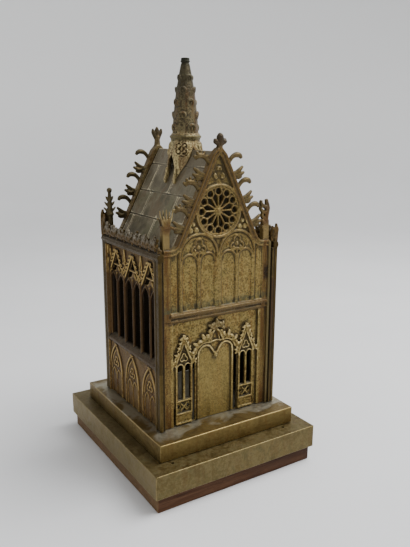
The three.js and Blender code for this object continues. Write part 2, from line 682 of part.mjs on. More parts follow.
// ---- materials and placing ----
const brass = new THREE.MeshStandardMaterial({ color: 0x8f7a45, metalness: 0.9, roughness: 0.5 });
const facadeBrass = new THREE.MeshStandardMaterial({ color: 0x9a8148, metalness: 0.9, roughness: 0.5 });
const sideBrass = new THREE.MeshStandardMaterial({ color: 0x6f5a38, metalness: 0.85, roughness: 0.55 });
const roofBrass = new THREE.MeshStandardMaterial({ color: 0x6d6a55, metalness: 0.7, roughness: 0.6 });
const wood = new THREE.MeshStandardMaterial({ color: 0x5a3328, metalness: 0, roughness: 0.6 });

const reliquary = new THREE.Group();

function stand(name, body, material, x, y, turn) {
  const mesh = node(name, body, material);
  mesh.rotation.set(PI / 2, 0, turn, 'ZYX');
  mesh.position.set(x, y, 0);
  reliquary.add(mesh);
}

reliquary.add(node('base_board', slab(BOARD), wood));
reliquary.add(node('lower_plinth', cut(slab(LOWER), fixingHoles()), brass));
reliquary.add(node('upper_plinth', slab(UPPER), brass));
stand('front_wall', frontWall(), facadeBrass, 0, -GABLE_Y, 0);
stand('rear_wall', rearWall(), facadeBrass, 0, GABLE_Y, PI);
stand('left_wall', sideWall(CREST.leftTip), sideBrass, -SIDE_X, 0, -PI / 2);
stand('right_wall', sideWall(CREST.rightTip), sideBrass, SIDE_X + RIGHT_WALL_OFFSET, 0, PI / 2);
reliquary.add(node('roof', roof(), roofBrass));
reliquary.add(node('spire', spire(), facadeBrass));

export default reliquary;
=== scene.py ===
import json
import math

import bpy
import numpy as np
from mathutils import Matrix, Vector

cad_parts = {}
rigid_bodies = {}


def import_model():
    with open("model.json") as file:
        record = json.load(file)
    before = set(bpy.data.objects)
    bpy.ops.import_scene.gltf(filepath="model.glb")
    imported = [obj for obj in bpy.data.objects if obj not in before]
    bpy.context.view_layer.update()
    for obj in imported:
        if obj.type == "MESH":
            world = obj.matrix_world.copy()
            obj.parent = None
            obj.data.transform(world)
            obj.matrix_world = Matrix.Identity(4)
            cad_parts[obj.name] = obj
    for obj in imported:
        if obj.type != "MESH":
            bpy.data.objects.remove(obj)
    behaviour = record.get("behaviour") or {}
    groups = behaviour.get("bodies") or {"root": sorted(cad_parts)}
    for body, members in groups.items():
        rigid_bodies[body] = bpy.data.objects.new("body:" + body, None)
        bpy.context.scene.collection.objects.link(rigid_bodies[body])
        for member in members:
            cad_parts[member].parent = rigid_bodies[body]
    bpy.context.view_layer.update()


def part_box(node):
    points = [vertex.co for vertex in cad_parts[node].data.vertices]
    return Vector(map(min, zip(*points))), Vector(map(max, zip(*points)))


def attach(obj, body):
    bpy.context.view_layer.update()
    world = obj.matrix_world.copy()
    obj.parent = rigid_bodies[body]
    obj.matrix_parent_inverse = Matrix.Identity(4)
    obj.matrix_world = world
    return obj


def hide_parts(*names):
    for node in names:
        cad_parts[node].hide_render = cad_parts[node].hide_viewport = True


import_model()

# ---- camera ----
# It stands in front and to the left, a little above the gable's shoulders, and looks slightly down.
camera_data = bpy.data.cameras.new("camera")
camera_data.sensor_width = 36
camera_data.lens = 39.41
camera = bpy.data.objects.new("camera", camera_data)
bpy.context.scene.collection.objects.link(camera)
swing, tilt, roll = math.radians(-32.43), math.radians(76.7), math.radians(0.27)
camera.matrix_world = (Matrix.Translation((-0.2295, -0.3889, 0.2486)) @ Matrix.Rotation(swing, 4, "Z")
                       @ Matrix.Rotation(tilt, 4, "X") @ Matrix.Rotation(roll, 4, "Z"))
bpy.context.scene.camera = camera


# ---- wooden board ----
# A red-brown stained hardwood board, planed flat, under the whole chapel. The plinth is screwed down
# on it and stands out past it all round. Its varnish is dull, and its arrises are rubbed.
MM = 0.001


def deselect():
    if bpy.context.object and bpy.context.object.mode != "OBJECT":
        bpy.ops.object.mode_set(mode="OBJECT")
    bpy.ops.object.select_all(action="DESELECT")


def select_only(piece):
    deselect()
    piece.select_set(True)
    bpy.context.view_layer.objects.active = piece


def finish_with(piece, kind, **settings):
    """Adds one modifier and applies it."""
    select_only(piece)
    modifier = piece.modifiers.new(kind.title(), kind)
    for key, value in settings.items():
        setattr(modifier, key, value)
    bpy.ops.object.modifier_apply(modifier=modifier.name)


def block(name, lowest, highest):
    deselect()
    middle = [(a + b) / 2 for a, b in zip(lowest, highest)]
    bpy.ops.mesh.primitive_cube_add(size=1, location=middle, scale=[b - a for a, b in zip(lowest, highest)])
    piece = bpy.context.object
    piece.name = name
    bpy.ops.object.transform_apply(location=True, rotation=True, scale=True)
    return piece


def read(parts, name, width=1, kind=float):
    """One value, or one row of values, from every point, edge or face."""
    values = np.empty(len(parts) * width, dtype=kind)
    parts.foreach_get(name, values)
    return values.reshape(-1, width) if width > 1 else values


def keep_relief(piece, rounds, reach):
    """Stores how far each point stands out of, or lies below, the surface around it: -1 to 1."""
    mesh = piece.data
    count = len(mesh.vertices)
    places, normals = read(mesh.vertices, "co", 3), read(mesh.vertices, "normal", 3)
    a, b = read(mesh.edges, "vertices", 2, int).T
    pull = 1 / np.maximum(((places[a] - places[b]) ** 2).sum(axis=1), 0.01)

    def pulled(values):
        """Each point's weighted sum of the values at the far ends of its edges."""
        return (np.bincount(a, weights=pull * values[b], minlength=count)
                + np.bincount(b, weights=pull * values[a], minlength=count))

    total = np.maximum(pulled(np.ones(count)), 1e-9)
    smooth = places
    for _ in range(rounds):
        smooth = np.stack([pulled(column) / total for column in smooth.T], axis=1)
    standing = np.clip(((places - smooth) * normals).sum(axis=1) / reach, -1, 1)
    mesh.attributes.new("relief", "FLOAT", "POINT").data.foreach_set("value", standing.astype(np.float32))


def worn_slab(name, node, edge, wave, reach):
    """A slab the size of a CAD node, with rubbed arrises and faces that aren't quite true."""
    lowest, highest = (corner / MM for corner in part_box(node))
    piece = block(name, lowest, highest)
    finish_with(piece, "BEVEL", width=edge, segments=3)
    bpy.ops.object.mode_set(mode="EDIT")
    for axis in range(3):
        low, high = lowest[axis], highest[axis]
        normal = [float(other == axis) for other in range(3)]
        tenths = [low + (high - low) * step / 10 for step in range(1, 10)] if axis < 2 else []
        for level in (low + edge * 2, *tenths, high - edge * 2):
            bpy.ops.mesh.select_all(action="SELECT")
            bpy.ops.mesh.bisect(plane_co=[level * part for part in normal], plane_no=normal)
    bpy.ops.object.mode_set(mode="OBJECT")
    keep_relief(piece, 1, reach)
    for vertex in piece.data.vertices:
        x, y, z = vertex.co
        vertex.co.x += wave * math.sin(y * 0.11 + z)
        vertex.co.y += wave * math.sin(x * 0.13 + z * 0.7)
        if z > highest.z / 2:
            vertex.co.z += wave * 0.6 * math.sin(x * 0.07 + y * 0.09)
    return piece


def to_metres(piece, turn=0.0, place=(0, 0, 0)):
    """Takes a piece drawn in millimetres to its place in the frame."""
    piece.data.transform(Matrix.Translation(place) @ Matrix.Rotation(turn, 4, "Z") @ Matrix.Scale(MM, 4))
    piece.matrix_world = Matrix.Identity(4)


def dressed(piece, material, crease=None):
    """Puts on the material and shades the piece smooth, but for edges sharper than crease degrees."""
    piece.data.materials.append(material)
    select_only(piece)
    if crease:
        bpy.ops.object.shade_smooth_by_angle(angle=math.radians(crease))
    else:
        bpy.ops.object.shade_smooth()


class Value:
    """A shader value: arithmetic on it adds Math nodes."""

    def __init__(self, finish, socket):
        self.finish, self.socket = finish, socket

    def math(self, operation, *others):
        return self.finish.node("ShaderNodeMath", {"operation": operation}, dict(enumerate((self, *others))))

    def __add__(self, other): return self.math("ADD", other)
    def __radd__(self, other): return self.math("ADD", other)
    def __sub__(self, other): return self.math("SUBTRACT", other)
    def __rsub__(self, other): return (self * -1) + other
    def __mul__(self, other): return self.math("MULTIPLY", other)

    def held(self):
        return self.finish.node("ShaderNodeClamp", {}, {"Value": self})

    def between(self, low, high):
        """0 below low, 1 above high, and smooth between."""
        return self.finish.node("ShaderNodeMapRange", {"interpolation_type": "SMOOTHSTEP"},
                                {"Value": self, "From Min": low, "From Max": high})

    def within(self, low, rise, fall, high):
        """1 from rise to fall, 0 below low and above high, and smooth between."""
        return self.between(low, rise) * (1 - self.between(fall, high))


class Finish:
    """A material's node tree, with one method for every kind of node."""

    def __init__(self, name):
        self.material = bpy.data.materials.new(name)
        self.material.use_nodes = True
        self.tree = self.material.node_tree
        self.tree.nodes.clear()
        self.place = self.node("ShaderNodeTexCoord", {}, {}, "Object")

    def node(self, kind, settings, inputs, output=0):
        node = self.tree.nodes.new(kind)
        for key, value in settings.items():
            if key == "stops":
                ramp = node.color_ramp
                while len(ramp.elements) < len(value):
                    ramp.elements.new(0.5)
                for element, (position, colour) in zip(ramp.elements, value):
                    element.position, element.color = position, (*colour, 1)
            else:
                setattr(node, key, value)
        for key, value in inputs.items():
            if isinstance(value, Value):
                self.tree.links.new(value.socket, node.inputs[key])
            else:
                node.inputs[key].default_value = value
        return Value(self, node.outputs[output]) if node.outputs else None

    def noise(self, size, detail=3, rough=0.5, stretch=(1, 1, 1), twist=0.0):
        """Cloudy noise with patches about size millimetres across."""
        place = self.node("ShaderNodeMapping", {}, {"Vector": self.place, "Scale": stretch})
        inputs = {"Vector": place, "Scale": 1 / (size * MM), "Detail": detail, "Roughness": rough,
                  "Distortion": twist}
        return self.node("ShaderNodeTexNoise", {}, inputs)

    def cells(self, size):
        inputs = {"Vector": self.place, "Scale": 1 / (size * MM)}
        return self.node("ShaderNodeTexVoronoi", {}, inputs, "Distance")

    def part(self, vector, axis):
        return self.node("ShaderNodeSeparateXYZ", {}, {"Vector": vector}, "XYZ".index(axis))

    def along(self, axis):
        """Where a point is along an axis, in millimetres."""
        return self.part(self.place, axis) * (1 / MM)

    def facing(self, axis):
        return self.part(self.node("ShaderNodeNewGeometry", {}, {}, "Normal"), axis)

    def own(self, name):
        return self.node("ShaderNodeAttribute", {"attribute_name": name}, {}, "Fac")

    def ramp(self, value, *stops):
        return self.node("ShaderNodeValToRGB", {"stops": stops}, {"Fac": value}, "Color")

    def mix(self, amount, below, above):
        below, above = (side if isinstance(side, Value) else (*side, 1) for side in (below, above))
        return self.node("ShaderNodeMix", {"data_type": "RGBA"}, {0: amount, 6: below, 7: above}, 2)

    def coats(self, tone, *coats):
        """Lays coats of (amount, colour) over a tone, in their order."""
        for amount, colour in coats:
            tone = self.mix(amount, tone, colour)
        return tone

    def bump(self, height, distance, strength):
        inputs = {"Height": height, "Distance": distance * MM, "Strength": strength}
        return self.node("ShaderNodeBump", {}, inputs)

    def surface(self, gloss, **varying):
        """The finished material; gloss is its specular level."""
        inputs = {key.replace("_", " "): value for key, value in varying.items()}
        shader = self.node("ShaderNodeBsdfPrincipled", {}, {**inputs, "Specular IOR Level": gloss}, "BSDF")
        self.node("ShaderNodeOutputMaterial", {}, {"Surface": shader})
        return self.material


def stained_wood():
    finish = Finish("stained_wood")
    fibres = finish.noise(2.6, 4, 0.6, stretch=(0.06, 1, 1), twist=0.6)
    rings = finish.noise(7, 3, 0.55, stretch=(0.05, 1, 1.8), twist=1.0)
    pores = finish.noise(0.8, 2, 0.7, stretch=(0.07, 1, 1))
    clouds = finish.noise(32, 3)
    dark = (finish.along("X").between(20, 75) * 0.35 + clouds.between(0.5, 0.62) * 0.4).held()
    rub = finish.own("relief").between(0.25, 1.0) * finish.noise(5).between(0.42, 0.58)
    tone = finish.ramp(fibres * 0.5 + rings * 0.5, (0.38, (0.036, 0.015, 0.007)),
                       (0.5, (0.085, 0.037, 0.017)), (0.62, (0.14, 0.068, 0.034)))
    tone = finish.coats(
        tone,
        (pores.between(0.56, 0.66) * 0.6, (0.03, 0.014, 0.009)),
        (dark, (0.05, 0.024, 0.016)),
        # Painted light and shade: faces turned to the front are painted darker, faces turned to the left
        # lighter.
        ((finish.facing("Y") * -1).between(0.3, 0.9) * 0.4, (0.04, 0.016, 0.006)),
        ((finish.facing("X") * -1).between(0.3, 0.9) * 0.45, (0.215, 0.138, 0.064)),
        (rub * 0.5, (0.17, 0.095, 0.058)))
    height = fibres * 0.6 - pores.between(0.54, 0.68) * 0.5
    return finish.surface(0.12, Base_Color=tone, Roughness=(0.66 - fibres * 0.2 + rub * 0.1).held(),
                          Normal=finish.bump(height, 0.16, 0.9))


board = worn_slab("board", "base_board", 0.8, 0.1, 0.5)
to_metres(board)
dressed(board, stained_wood(), 40)
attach(board, "root")
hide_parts("base_board")


# ---- lower plinth ----
# The broad tier: a hollow brass casting, filed flat and lacquered long ago. Four screws once went
# down through it into the board, and the two holes in front still show.
def flat_outline(name, outlines, back, front, drawn="face"):
    """Closed outlines as one plate; an outline inside another is a hole. They are drawn on the wall's
    face as (along, up), in plan as (along, -out), or in section as (out, up)."""
    deselect()
    bpy.ops.curve.primitive_bezier_circle_add(radius=1)
    plate = bpy.context.object
    plate.name = name
    curve = plate.data
    curve.splines.clear()
    for outline in outlines:
        spline = curve.splines.new("POLY")
        spline.points.add(len(outline) - 1)
        for point, (x, z) in zip(spline.points, outline):
            point.co = (x, z, 0, 1)
        spline.use_cyclic_u = True
    curve.dimensions = "2D"
    curve.fill_mode = "BOTH"
    curve.extrude = (front - back) / 2
    bpy.ops.object.convert(target="MESH")
    stand = Matrix.Translation((0, 0, (back + front) / 2))
    if drawn != "plan":
        stand = Matrix.Rotation(math.pi / 2, 4, "X") @ stand
    if drawn == "section":
        stand = Matrix.Rotation(-math.pi / 2, 4, "Z") @ stand
    plate.data.transform(stand)
    return plate


def arc(x, z, radius, start, end, steps):
    angles = [math.radians(start + (end - start) * i / steps) for i in range(steps + 1)]
    return [(x + radius * math.cos(a), z + radius * math.sin(a)) for a in angles]


def ring(x, z, radius, steps=24):
    return arc(x, z, radius, 0, 360, steps)[:-1]


def oblong(x0, z0, x1, z1):
    return [(x0, z0), (x1, z0), (x1, z1), (x0, z1)]


def carved(piece, tools):
    """Cuts the tools' forms out of a piece and does away with the tools."""
    for tool in tools:
        select_only(piece)
        modifier = piece.modifiers.new("carve", "BOOLEAN")
        modifier.operation, modifier.object, modifier.solver = "DIFFERENCE", tool, "EXACT"
        bpy.ops.object.modifier_apply(modifier=modifier.name)
        bpy.data.objects.remove(tool)


def drill(x, y, radius, top, depth):
    """A tool for a blind hole down from a level."""
    deselect()
    bpy.ops.mesh.primitive_cylinder_add(vertices=20, radius=radius, depth=depth * 2, location=(x, y, top))
    bpy.ops.object.transform_apply(location=True)
    return bpy.context.object


def old_brass(name, tones, grain, line=0.9, rub=0.5, red=0.35, olive=0.35, dust=0.5, dull=0.46, paint=None):
    """Aged cast brass. Tones run from tarnish to rubbed metal. Grain is the punched stipple, line the
    dirt and painted shade in creases; paint adds what only this piece has."""
    finish = Finish(name)
    deep, mid, clear, bright = tones
    clouds = finish.noise(30, 3, 0.55, twist=0.5)
    blotches = finish.noise(8, 4, 0.62, twist=0.8)
    mottle = finish.noise(2.7, 3, 0.62)
    fine = finish.noise(0.9, 2, 0.6)
    pits = finish.cells(1.35)
    streaks = finish.noise(4.5, 3, 0.6, stretch=(1, 1, 0.14), twist=0.3)
    scratches = finish.noise(1.3, 2, 0.7, stretch=(0.06, 0.06, 1), twist=0.4)
    relief = finish.own("relief")
    dots = 1 - (pits + (fine - 0.5) * 0.5).between(0.16, 0.44)
    sparks = (pits + (mottle - 0.5) * 0.6).between(0.55, 0.75)
    # hollow marks creases and recesses, which dirt and painted shade darken below.
    hollow = (relief * -1 + (mottle - 0.5) * 0.4).between(0.06, 0.34)
    worn = (relief + (mottle - 0.5) * 0.6).between(0.14, 0.6)
    age = clouds * 0.35 + blotches * 0.35 + mottle * 0.3
    tone = finish.coats(
        finish.ramp(age, (0.4, deep), (0.47, mid), (0.54, clear), (0.62, mid)),
        (blotches.between(0.5, 0.64) * olive, (mid[0] * 0.62, mid[1] * 0.8, mid[2] * 0.85)),
        (streaks.between(0.5, 0.64) * red, (mid[0] * 0.8, mid[1] * 0.52, mid[2] * 0.42)),
        ((dots * 0.75 * grain).held(), [part * 0.35 for part in deep]),
        ((sparks * 0.35 * grain).held(), bright),
        (worn * rub, bright))
    if paint:
        tone = paint(finish, tone, relief, mottle)
    settled = finish.facing("Z").between(0.35, 0.9) * (blotches * 0.5 + mottle * 0.5).between(0.4, 0.58)
    settled = (settled * (0.7 + hollow * 0.5)).held() * dust
    # Dirt and painted shade darken the hollows; dust settles on the tops.
    tone = finish.coats(tone, (hollow * line, [part * 0.1 for part in deep]), (settled, (0.2, 0.185, 0.14)))
    metallic = (0.88 - hollow * 0.7 - settled * 0.8 - dots * 0.35 * grain).held()
    rough = (dull + (blotches - 0.5) * 0.5 + (mottle - 0.5) * 0.3 - worn * 0.12 + settled * 0.3
             + hollow * 0.3).held()
    height = mottle * 0.5 + fine * 0.3 - dots * 0.9 * grain - scratches.between(0.6, 0.68) * 0.12
    return finish.surface(0.3, Base_Color=tone, Metallic=metallic, Roughness=rough,
                          Normal=finish.bump(height, 0.3, 0.8))


lower_tier = worn_slab("lower_tier", "lower_plinth", 0.5, 0.08, 0.15)
lower_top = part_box("lower_plinth")[1].z / MM
carved(lower_tier, [drill(x * 48.5 - 1.7, y * 66.7, 1.15, lower_top, 7) for x in (-1, 1) for y in (-1, 1)])
to_metres(lower_tier)


def painted_left_light(finish, tone, relief, mottle):
    """Painted light: the left-hand faces are painted lighter in patches; faint pale patches lie on all faces.
    """
    left = (finish.facing("X") * -1).between(0.3, 0.9)
    return finish.coats(tone, ((left * (0.15 + mottle * 0.45)).held(), (0.29, 0.222, 0.1)),
                        (mottle.between(0.44, 0.6) * 0.16, (0.19, 0.165, 0.09)))


tones = ((0.1, 0.074, 0.027), (0.125, 0.094, 0.036), (0.15, 0.113, 0.044), (0.38, 0.3, 0.15))
dressed(lower_tier, old_brass("lower_tier_brass", tones, grain=0.16, dust=0.06, red=0.25, olive=0.3,
                              dull=0.5, rub=0.42, paint=painted_left_light), 40)
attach(lower_tier, "root")
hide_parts("lower_plinth")


# ---- upper plinth ----
# The smaller tier, of the same casting and finish. Grey dust lies in drifts on its top, thickest
# where it meets the walls.
upper_tier = worn_slab("upper_tier", "upper_plinth", 0.6, 0.08, 0.15)
to_metres(upper_tier)


def dust_drifts(finish, tone, relief, mottle):
    """Dust lies on the top beside the walls and thins out in waves towards the edge."""
    x, y = finish.along("X"), finish.along("Y")
    away = (x.math("ABSOLUTE") - 49.0).math("MAXIMUM", y.math("ABSOLUTE") - 46.5)
    wave = finish.noise(17, 3, 0.5, twist=0.8)
    edge = away - (wave - 0.42) * 36 + (mottle - 0.5) * 4
    flat = finish.facing("Z").between(0.5, 0.9)
    drift = (1 - edge.between(-0.5, 6.0)) * flat
    return finish.coats(tone, (flat * 0.25, (0.24, 0.18, 0.085)),
                        ((drift * (0.55 + mottle * 0.7)).held(), (0.37, 0.345, 0.262)))


tones = ((0.116, 0.079, 0.026), (0.146, 0.102, 0.034), (0.181, 0.129, 0.044), (0.44, 0.33, 0.14))
dressed(upper_tier, old_brass("upper_tier_brass", tones, grain=0.12, dust=0.0, red=0.3, olive=0.2, dull=0.46,
                              rub=0.48, paint=dust_drifts), 40)
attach(upper_tier, "root")
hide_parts("upper_plinth")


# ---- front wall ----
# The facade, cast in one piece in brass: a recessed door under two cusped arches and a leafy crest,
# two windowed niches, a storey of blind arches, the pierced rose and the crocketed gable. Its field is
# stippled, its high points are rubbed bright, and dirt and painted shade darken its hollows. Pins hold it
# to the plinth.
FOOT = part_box("front_wall")[0].z / MM
APEX = 238.2


def tubes(name, lines):
    """Round cords of metal along lines of (x, z, out, radius) points, open or closed, as one mesh."""
    deselect()
    bpy.ops.curve.primitive_nurbs_path_add()
    cord = bpy.context.object
    cord.name = name
    curve = cord.data
    curve.splines.clear()
    for line in lines:
        closed = line[0] == "closed"
        points = line[1:] if closed else line
        spline = curve.splines.new("POLY")
        spline.points.add(len(points) - 1)
        for point, (x, z, out, radius) in zip(spline.points, points):
            point.co = (x, -out, z, 1)
            point.radius = radius
        spline.use_cyclic_u = closed
    curve.dimensions = "3D"
    curve.bevel_depth = 1
    curve.bevel_resolution = 2
    curve.use_fill_caps = True
    bpy.ops.object.convert(target="MESH")
    return cord


def rib(points, out, radius, closed=False):
    line = [(x, z, out, radius) for x, z in points]
    return ["closed", *line] if closed else line


def mirror(points):
    return [(-x, *rest) for x, *rest in points]


def curve_through(points, steps=3):
    """A smooth line through points of any number of values."""
    padded = [points[0], *points, points[-1]]
    line = []
    for p0, p1, p2, p3 in zip(padded, padded[1:], padded[2:], padded[3:]):
        for i in range(steps):
            t = i / steps
            line.append(tuple(0.5 * (2 * b + (c - a) * t + (2 * a - 5 * b + 4 * c - d) * t * t
                                     + (3 * b - a - 3 * c + d) * t ** 3)
                              for a, b, c, d in zip(p0, p1, p2, p3)))
    return [*line, tuple(points[-1])]


def shift(points, dx, dz):
    return [(x + dx, z + dz, *rest) for x, z, *rest in points]


def joined(pieces):
    deselect()
    for piece in pieces:
        piece.select_set(True)
    bpy.context.view_layer.objects.active = pieces[0]
    if len(pieces) > 1:
        bpy.ops.object.join()
    return bpy.context.object


def copied(piece, transform):
    copy = bpy.data.objects.new(piece.name, piece.data.copy())
    bpy.context.scene.collection.objects.link(copy)
    copy.data.transform(transform)
    return copy


def beads(name, places):
    """Round beads at (x, z, out, radius across, radius out)."""
    deselect()
    bpy.ops.mesh.primitive_ico_sphere_add(subdivisions=2, radius=1)
    bead = bpy.context.object
    bead.name = name
    made = [copied(bead, Matrix.Translation((x, -out, z)) @ Matrix.Diagonal((across, deep, across, 1)))
            for x, z, out, across, deep in places]
    bpy.data.objects.remove(bead)
    return joined(made)


def open_with(piece, kind, chosen):
    """Opens a piece for editing with only the chosen points or edges selected."""
    select_only(piece)
    bpy.ops.object.mode_set(mode="EDIT")
    bpy.ops.mesh.select_mode(type=kind)
    bpy.ops.mesh.select_all(action="DESELECT")
    bpy.ops.object.mode_set(mode="OBJECT")
    parts = piece.data.edges if kind == "EDGE" else piece.data.vertices
    parts.foreach_set("select", chosen)
    bpy.ops.object.mode_set(mode="EDIT")


def cut_long_edges(piece, longest, unseen):
    """Halves long edges, except on faces turned to the unseen side, so that what is stored on the points of a
    flat stays near its rim."""
    mesh = piece.data
    ends = read(mesh.edges, "vertices", 2, int).T
    a, b = read(mesh.vertices, "co", 3)[ends]
    hidden = (read(mesh.vertices, "normal", 3) @ np.array(unseen) > 0.4)[ends].any(axis=0)
    open_with(piece, "EDGE", (np.linalg.norm(a - b, axis=1) > longest) & ~hidden)
    bpy.ops.mesh.subdivide(number_cuts=1, ngon=False)
    bpy.ops.object.mode_set(mode="OBJECT")


def drop_crumbs(piece):
    """Deletes the loose slivers that thinning can leave at a fine tip: what isn't linked to the foot."""
    heights = read(piece.data.vertices, "co", 3)[:, 2]
    open_with(piece, "VERT", np.arange(len(heights)) == heights.argmin())
    bpy.ops.mesh.select_linked()
    bpy.ops.mesh.select_all(action="INVERT")
    bpy.ops.mesh.delete(type="VERT")
    bpy.ops.object.mode_set(mode="OBJECT")


def cast(pieces, name, grain, faces, finest=1.5, unseen=(0, 1, 0), soften=2):
    """Runs the overlapping forms together into one casting with softened edges."""
    piece = joined(pieces)
    piece.name = name
    finish_with(piece, "REMESH", mode="VOXEL", voxel_size=grain)
    finish_with(piece, "SMOOTH", factor=0.5, iterations=soften)
    count = sum(len(face.vertices) - 2 for face in piece.data.polygons)
    if count > faces:
        finish_with(piece, "DECIMATE", ratio=faces / count)
    drop_crumbs(piece)
    for longest in (finest * 4, finest * 2, finest):
        cut_long_edges(piece, longest, unseen)
    return piece


def keep_wall_relief(piece, reach, spread=0.6):
    """keep_relief for a wall in its own frame, plus how far each outward-facing point stands above the mean
    level of the face within about spread millimetres of it."""
    keep_relief(piece, 8, 0.7)
    mesh = piece.data
    across, height = read(mesh.vertices, "co", 3)[:, [0, 2]], -read(mesh.vertices, "co", 3)[:, 1]
    facing = np.clip(-read(mesh.vertices, "normal", 3)[:, 1], 0, 1)
    corners = read(mesh.polygons, "loop_total", 1, int)
    shares = np.repeat(read(mesh.polygons, "area") / corners, corners)
    owners = read(mesh.loops, "vertex_index", 1, int)
    weight = facing * np.bincount(owners, weights=shares, minlength=len(facing))
    squares = ((across - across.min(axis=0)) / (spread / 2)).astype(int) + 8
    shape = tuple(squares.max(axis=0) + 9)
    index = np.ravel_multi_index(squares.T, shape)
    total, level = (np.bincount(index, weights=values, minlength=shape[0] * shape[1]).reshape(shape)
                    for values in (weight, weight * height))
    for axis in (0, 1) * 8:
        total, level = ((np.roll(grid, 1, axis) + grid * 2 + np.roll(grid, -1, axis)) / 4
                        for grid in (total, level))
    level = (level / np.maximum(total, 1e-9))[squares[:, 0], squares[:, 1]]
    fine = mesh.attributes["relief"].data
    standing = np.clip(read(fine, "value") + (height - level) / reach * np.clip(facing * 2, 0, 1), -1, 1)
    fine.foreach_set("value", standing.astype(np.float32))


# Ornament that repeats: three-lobed leaves, crockets and foils.
LEAF = [
    [(0, 0, 0, 0.7), (0.3, 2.0, 0.5, 1.15), (0.2, 4.0, 0.7, 1.35), (0, 6.0, 0.2, 0.6)],
    [(0, 0.6, 0, 0.7), (-1.6, 1.7, 0.3, 1.0), (-3.2, 2.4, 0.6, 1.25), (-4.6, 1.7, 0.2, 0.6)],
    [(0, 0.6, 0, 0.7), (1.6, 1.7, 0.3, 1.0), (3.2, 2.4, 0.6, 1.25), (4.6, 1.7, 0.2, 0.6)],
]


def leaf(x, z, angle, size, out):
    """A leaf turned, scaled and set in its place."""
    c, s = math.cos(math.radians(angle)) * size, math.sin(math.radians(angle)) * size
    return [curve_through([(x + a * c - b * s, z + a * s + b * c, out + o, r * size) for a, b, o, r in lobe])
            for lobe in LEAF]


def trefoil_lines(x, z, reach, radius, out, thick):
    """Three part circles, open towards their shared middle."""
    return [rib(arc(*arc(x, z, reach, turn, turn, 1)[0], radius, turn - 118, turn + 118, 12), out, thick)
            for turn in (90, 210, 330)]


RAKE_FOOT, RAKE_RUN = (31.5, 178.4), 0.4643
ROSE_Z = 195.5


def rake_x(z):
    return RAKE_FOOT[0] - (z - RAKE_FOOT[1]) * RAKE_RUN


EDGE = [(44.5, 171.5), (39.4, 171.5), (36.4, 172.1), (34.0, 174.0), (32.4, 176.8), (rake_x(181), 181),
        (rake_x(234.0), 234.0), (1.8, APEX)]


def beside(points, distance):
    """A line moved sideways by a distance, mitred at its corners."""
    moved = []
    for i, (x, z) in enumerate(points):
        before, after = points[max(i - 1, 0)], points[min(i + 1, len(points) - 1)]
        d1 = Vector((x - before[0], z - before[1])) if i else Vector((after[0] - x, after[1] - z))
        d2 = Vector((after[0] - x, after[1] - z)) if i < len(points) - 1 else d1
        d1.normalize()
        d2.normalize()
        scale = distance / (1 + d1.dot(d2))
        moved.append((x - (d1.y + d2.y) * scale, z + (d1.x + d2.x) * scale))
    return moved


def both(lines):
    """Lines of points with their mirror images."""
    return [*lines, *(mirror(line) for line in lines)]


def arch(x, radius, spring, foot, steps=14):
    return [(x + radius, foot), *arc(x, spring, radius, 0, 180, steps), (x - radius, foot)]


def petal(angle):
    shape = [(3.1, 0.15), (6.4, 0.95), (9.2, 1.75), (10.6, 1.8), (11.6, 1.2), (12.0, 0)]
    shape = shape + [(r, -w) for r, w in shape[-2::-1]]
    c, s = math.cos(angle), math.sin(angle)
    return [(r * c - w * s, ROSE_Z + r * s + w * c) for r, w in shape]


def hook(x, z):
    """A crocket that curls over."""
    spine = curve_through([(-1.6, -2.4, -1.4, 1.9), (0.6, 1.2, -1.2, 1.6), (3.0, 3.8, -1.1, 1.7),
                           (6.0, 5.0, -1.1, 2.0), (8.8, 4.6, -1.1, 1.9), (10.6, 2.6, -1.2, 1.1)])
    return shift(spine, x, z)


def hook_beads(x, z):
    """The teeth on a crocket's back."""
    back = [(1.2, 4.6), (3.6, 6.6), (6.4, 7.5), (9.2, 6.9), (11.2, 4.6)]
    return [(x + dx, z + dz, -1.0, 1.15, 1.1) for dx, dz in back]


def leaf_crocket(x, z):
    """A crocket of three ridged fingers."""
    fingers = [
        [(-1.2, -1.0, -1.4, 1.7), (2.2, -1.6, -1.2, 1.45), (4.8, -1.9, -1.0, 1.35), (7.0, -1.2, -1.3, 0.8)],
        [(-1.2, 0.2, -1.4, 1.7), (2.6, 0.0, -1.0, 1.6), (6.0, 0.6, -0.8, 1.6), (9.0, 1.8, -1.2, 0.9)],
        [(-1.2, 0.8, -1.4, 1.6), (2.2, 1.7, -1.1, 1.5), (5.0, 3.4, -0.9, 1.55), (7.8, 5.8, -1.3, 0.9)],
        [(2.0, 0.4, -1.9, 1.2), (4.4, -0.4, -1.9, 1.2), (6.4, 0.2, -2.0, 1.0)],
    ]
    return [shift(curve_through(finger), x, z) for finger in fingers]


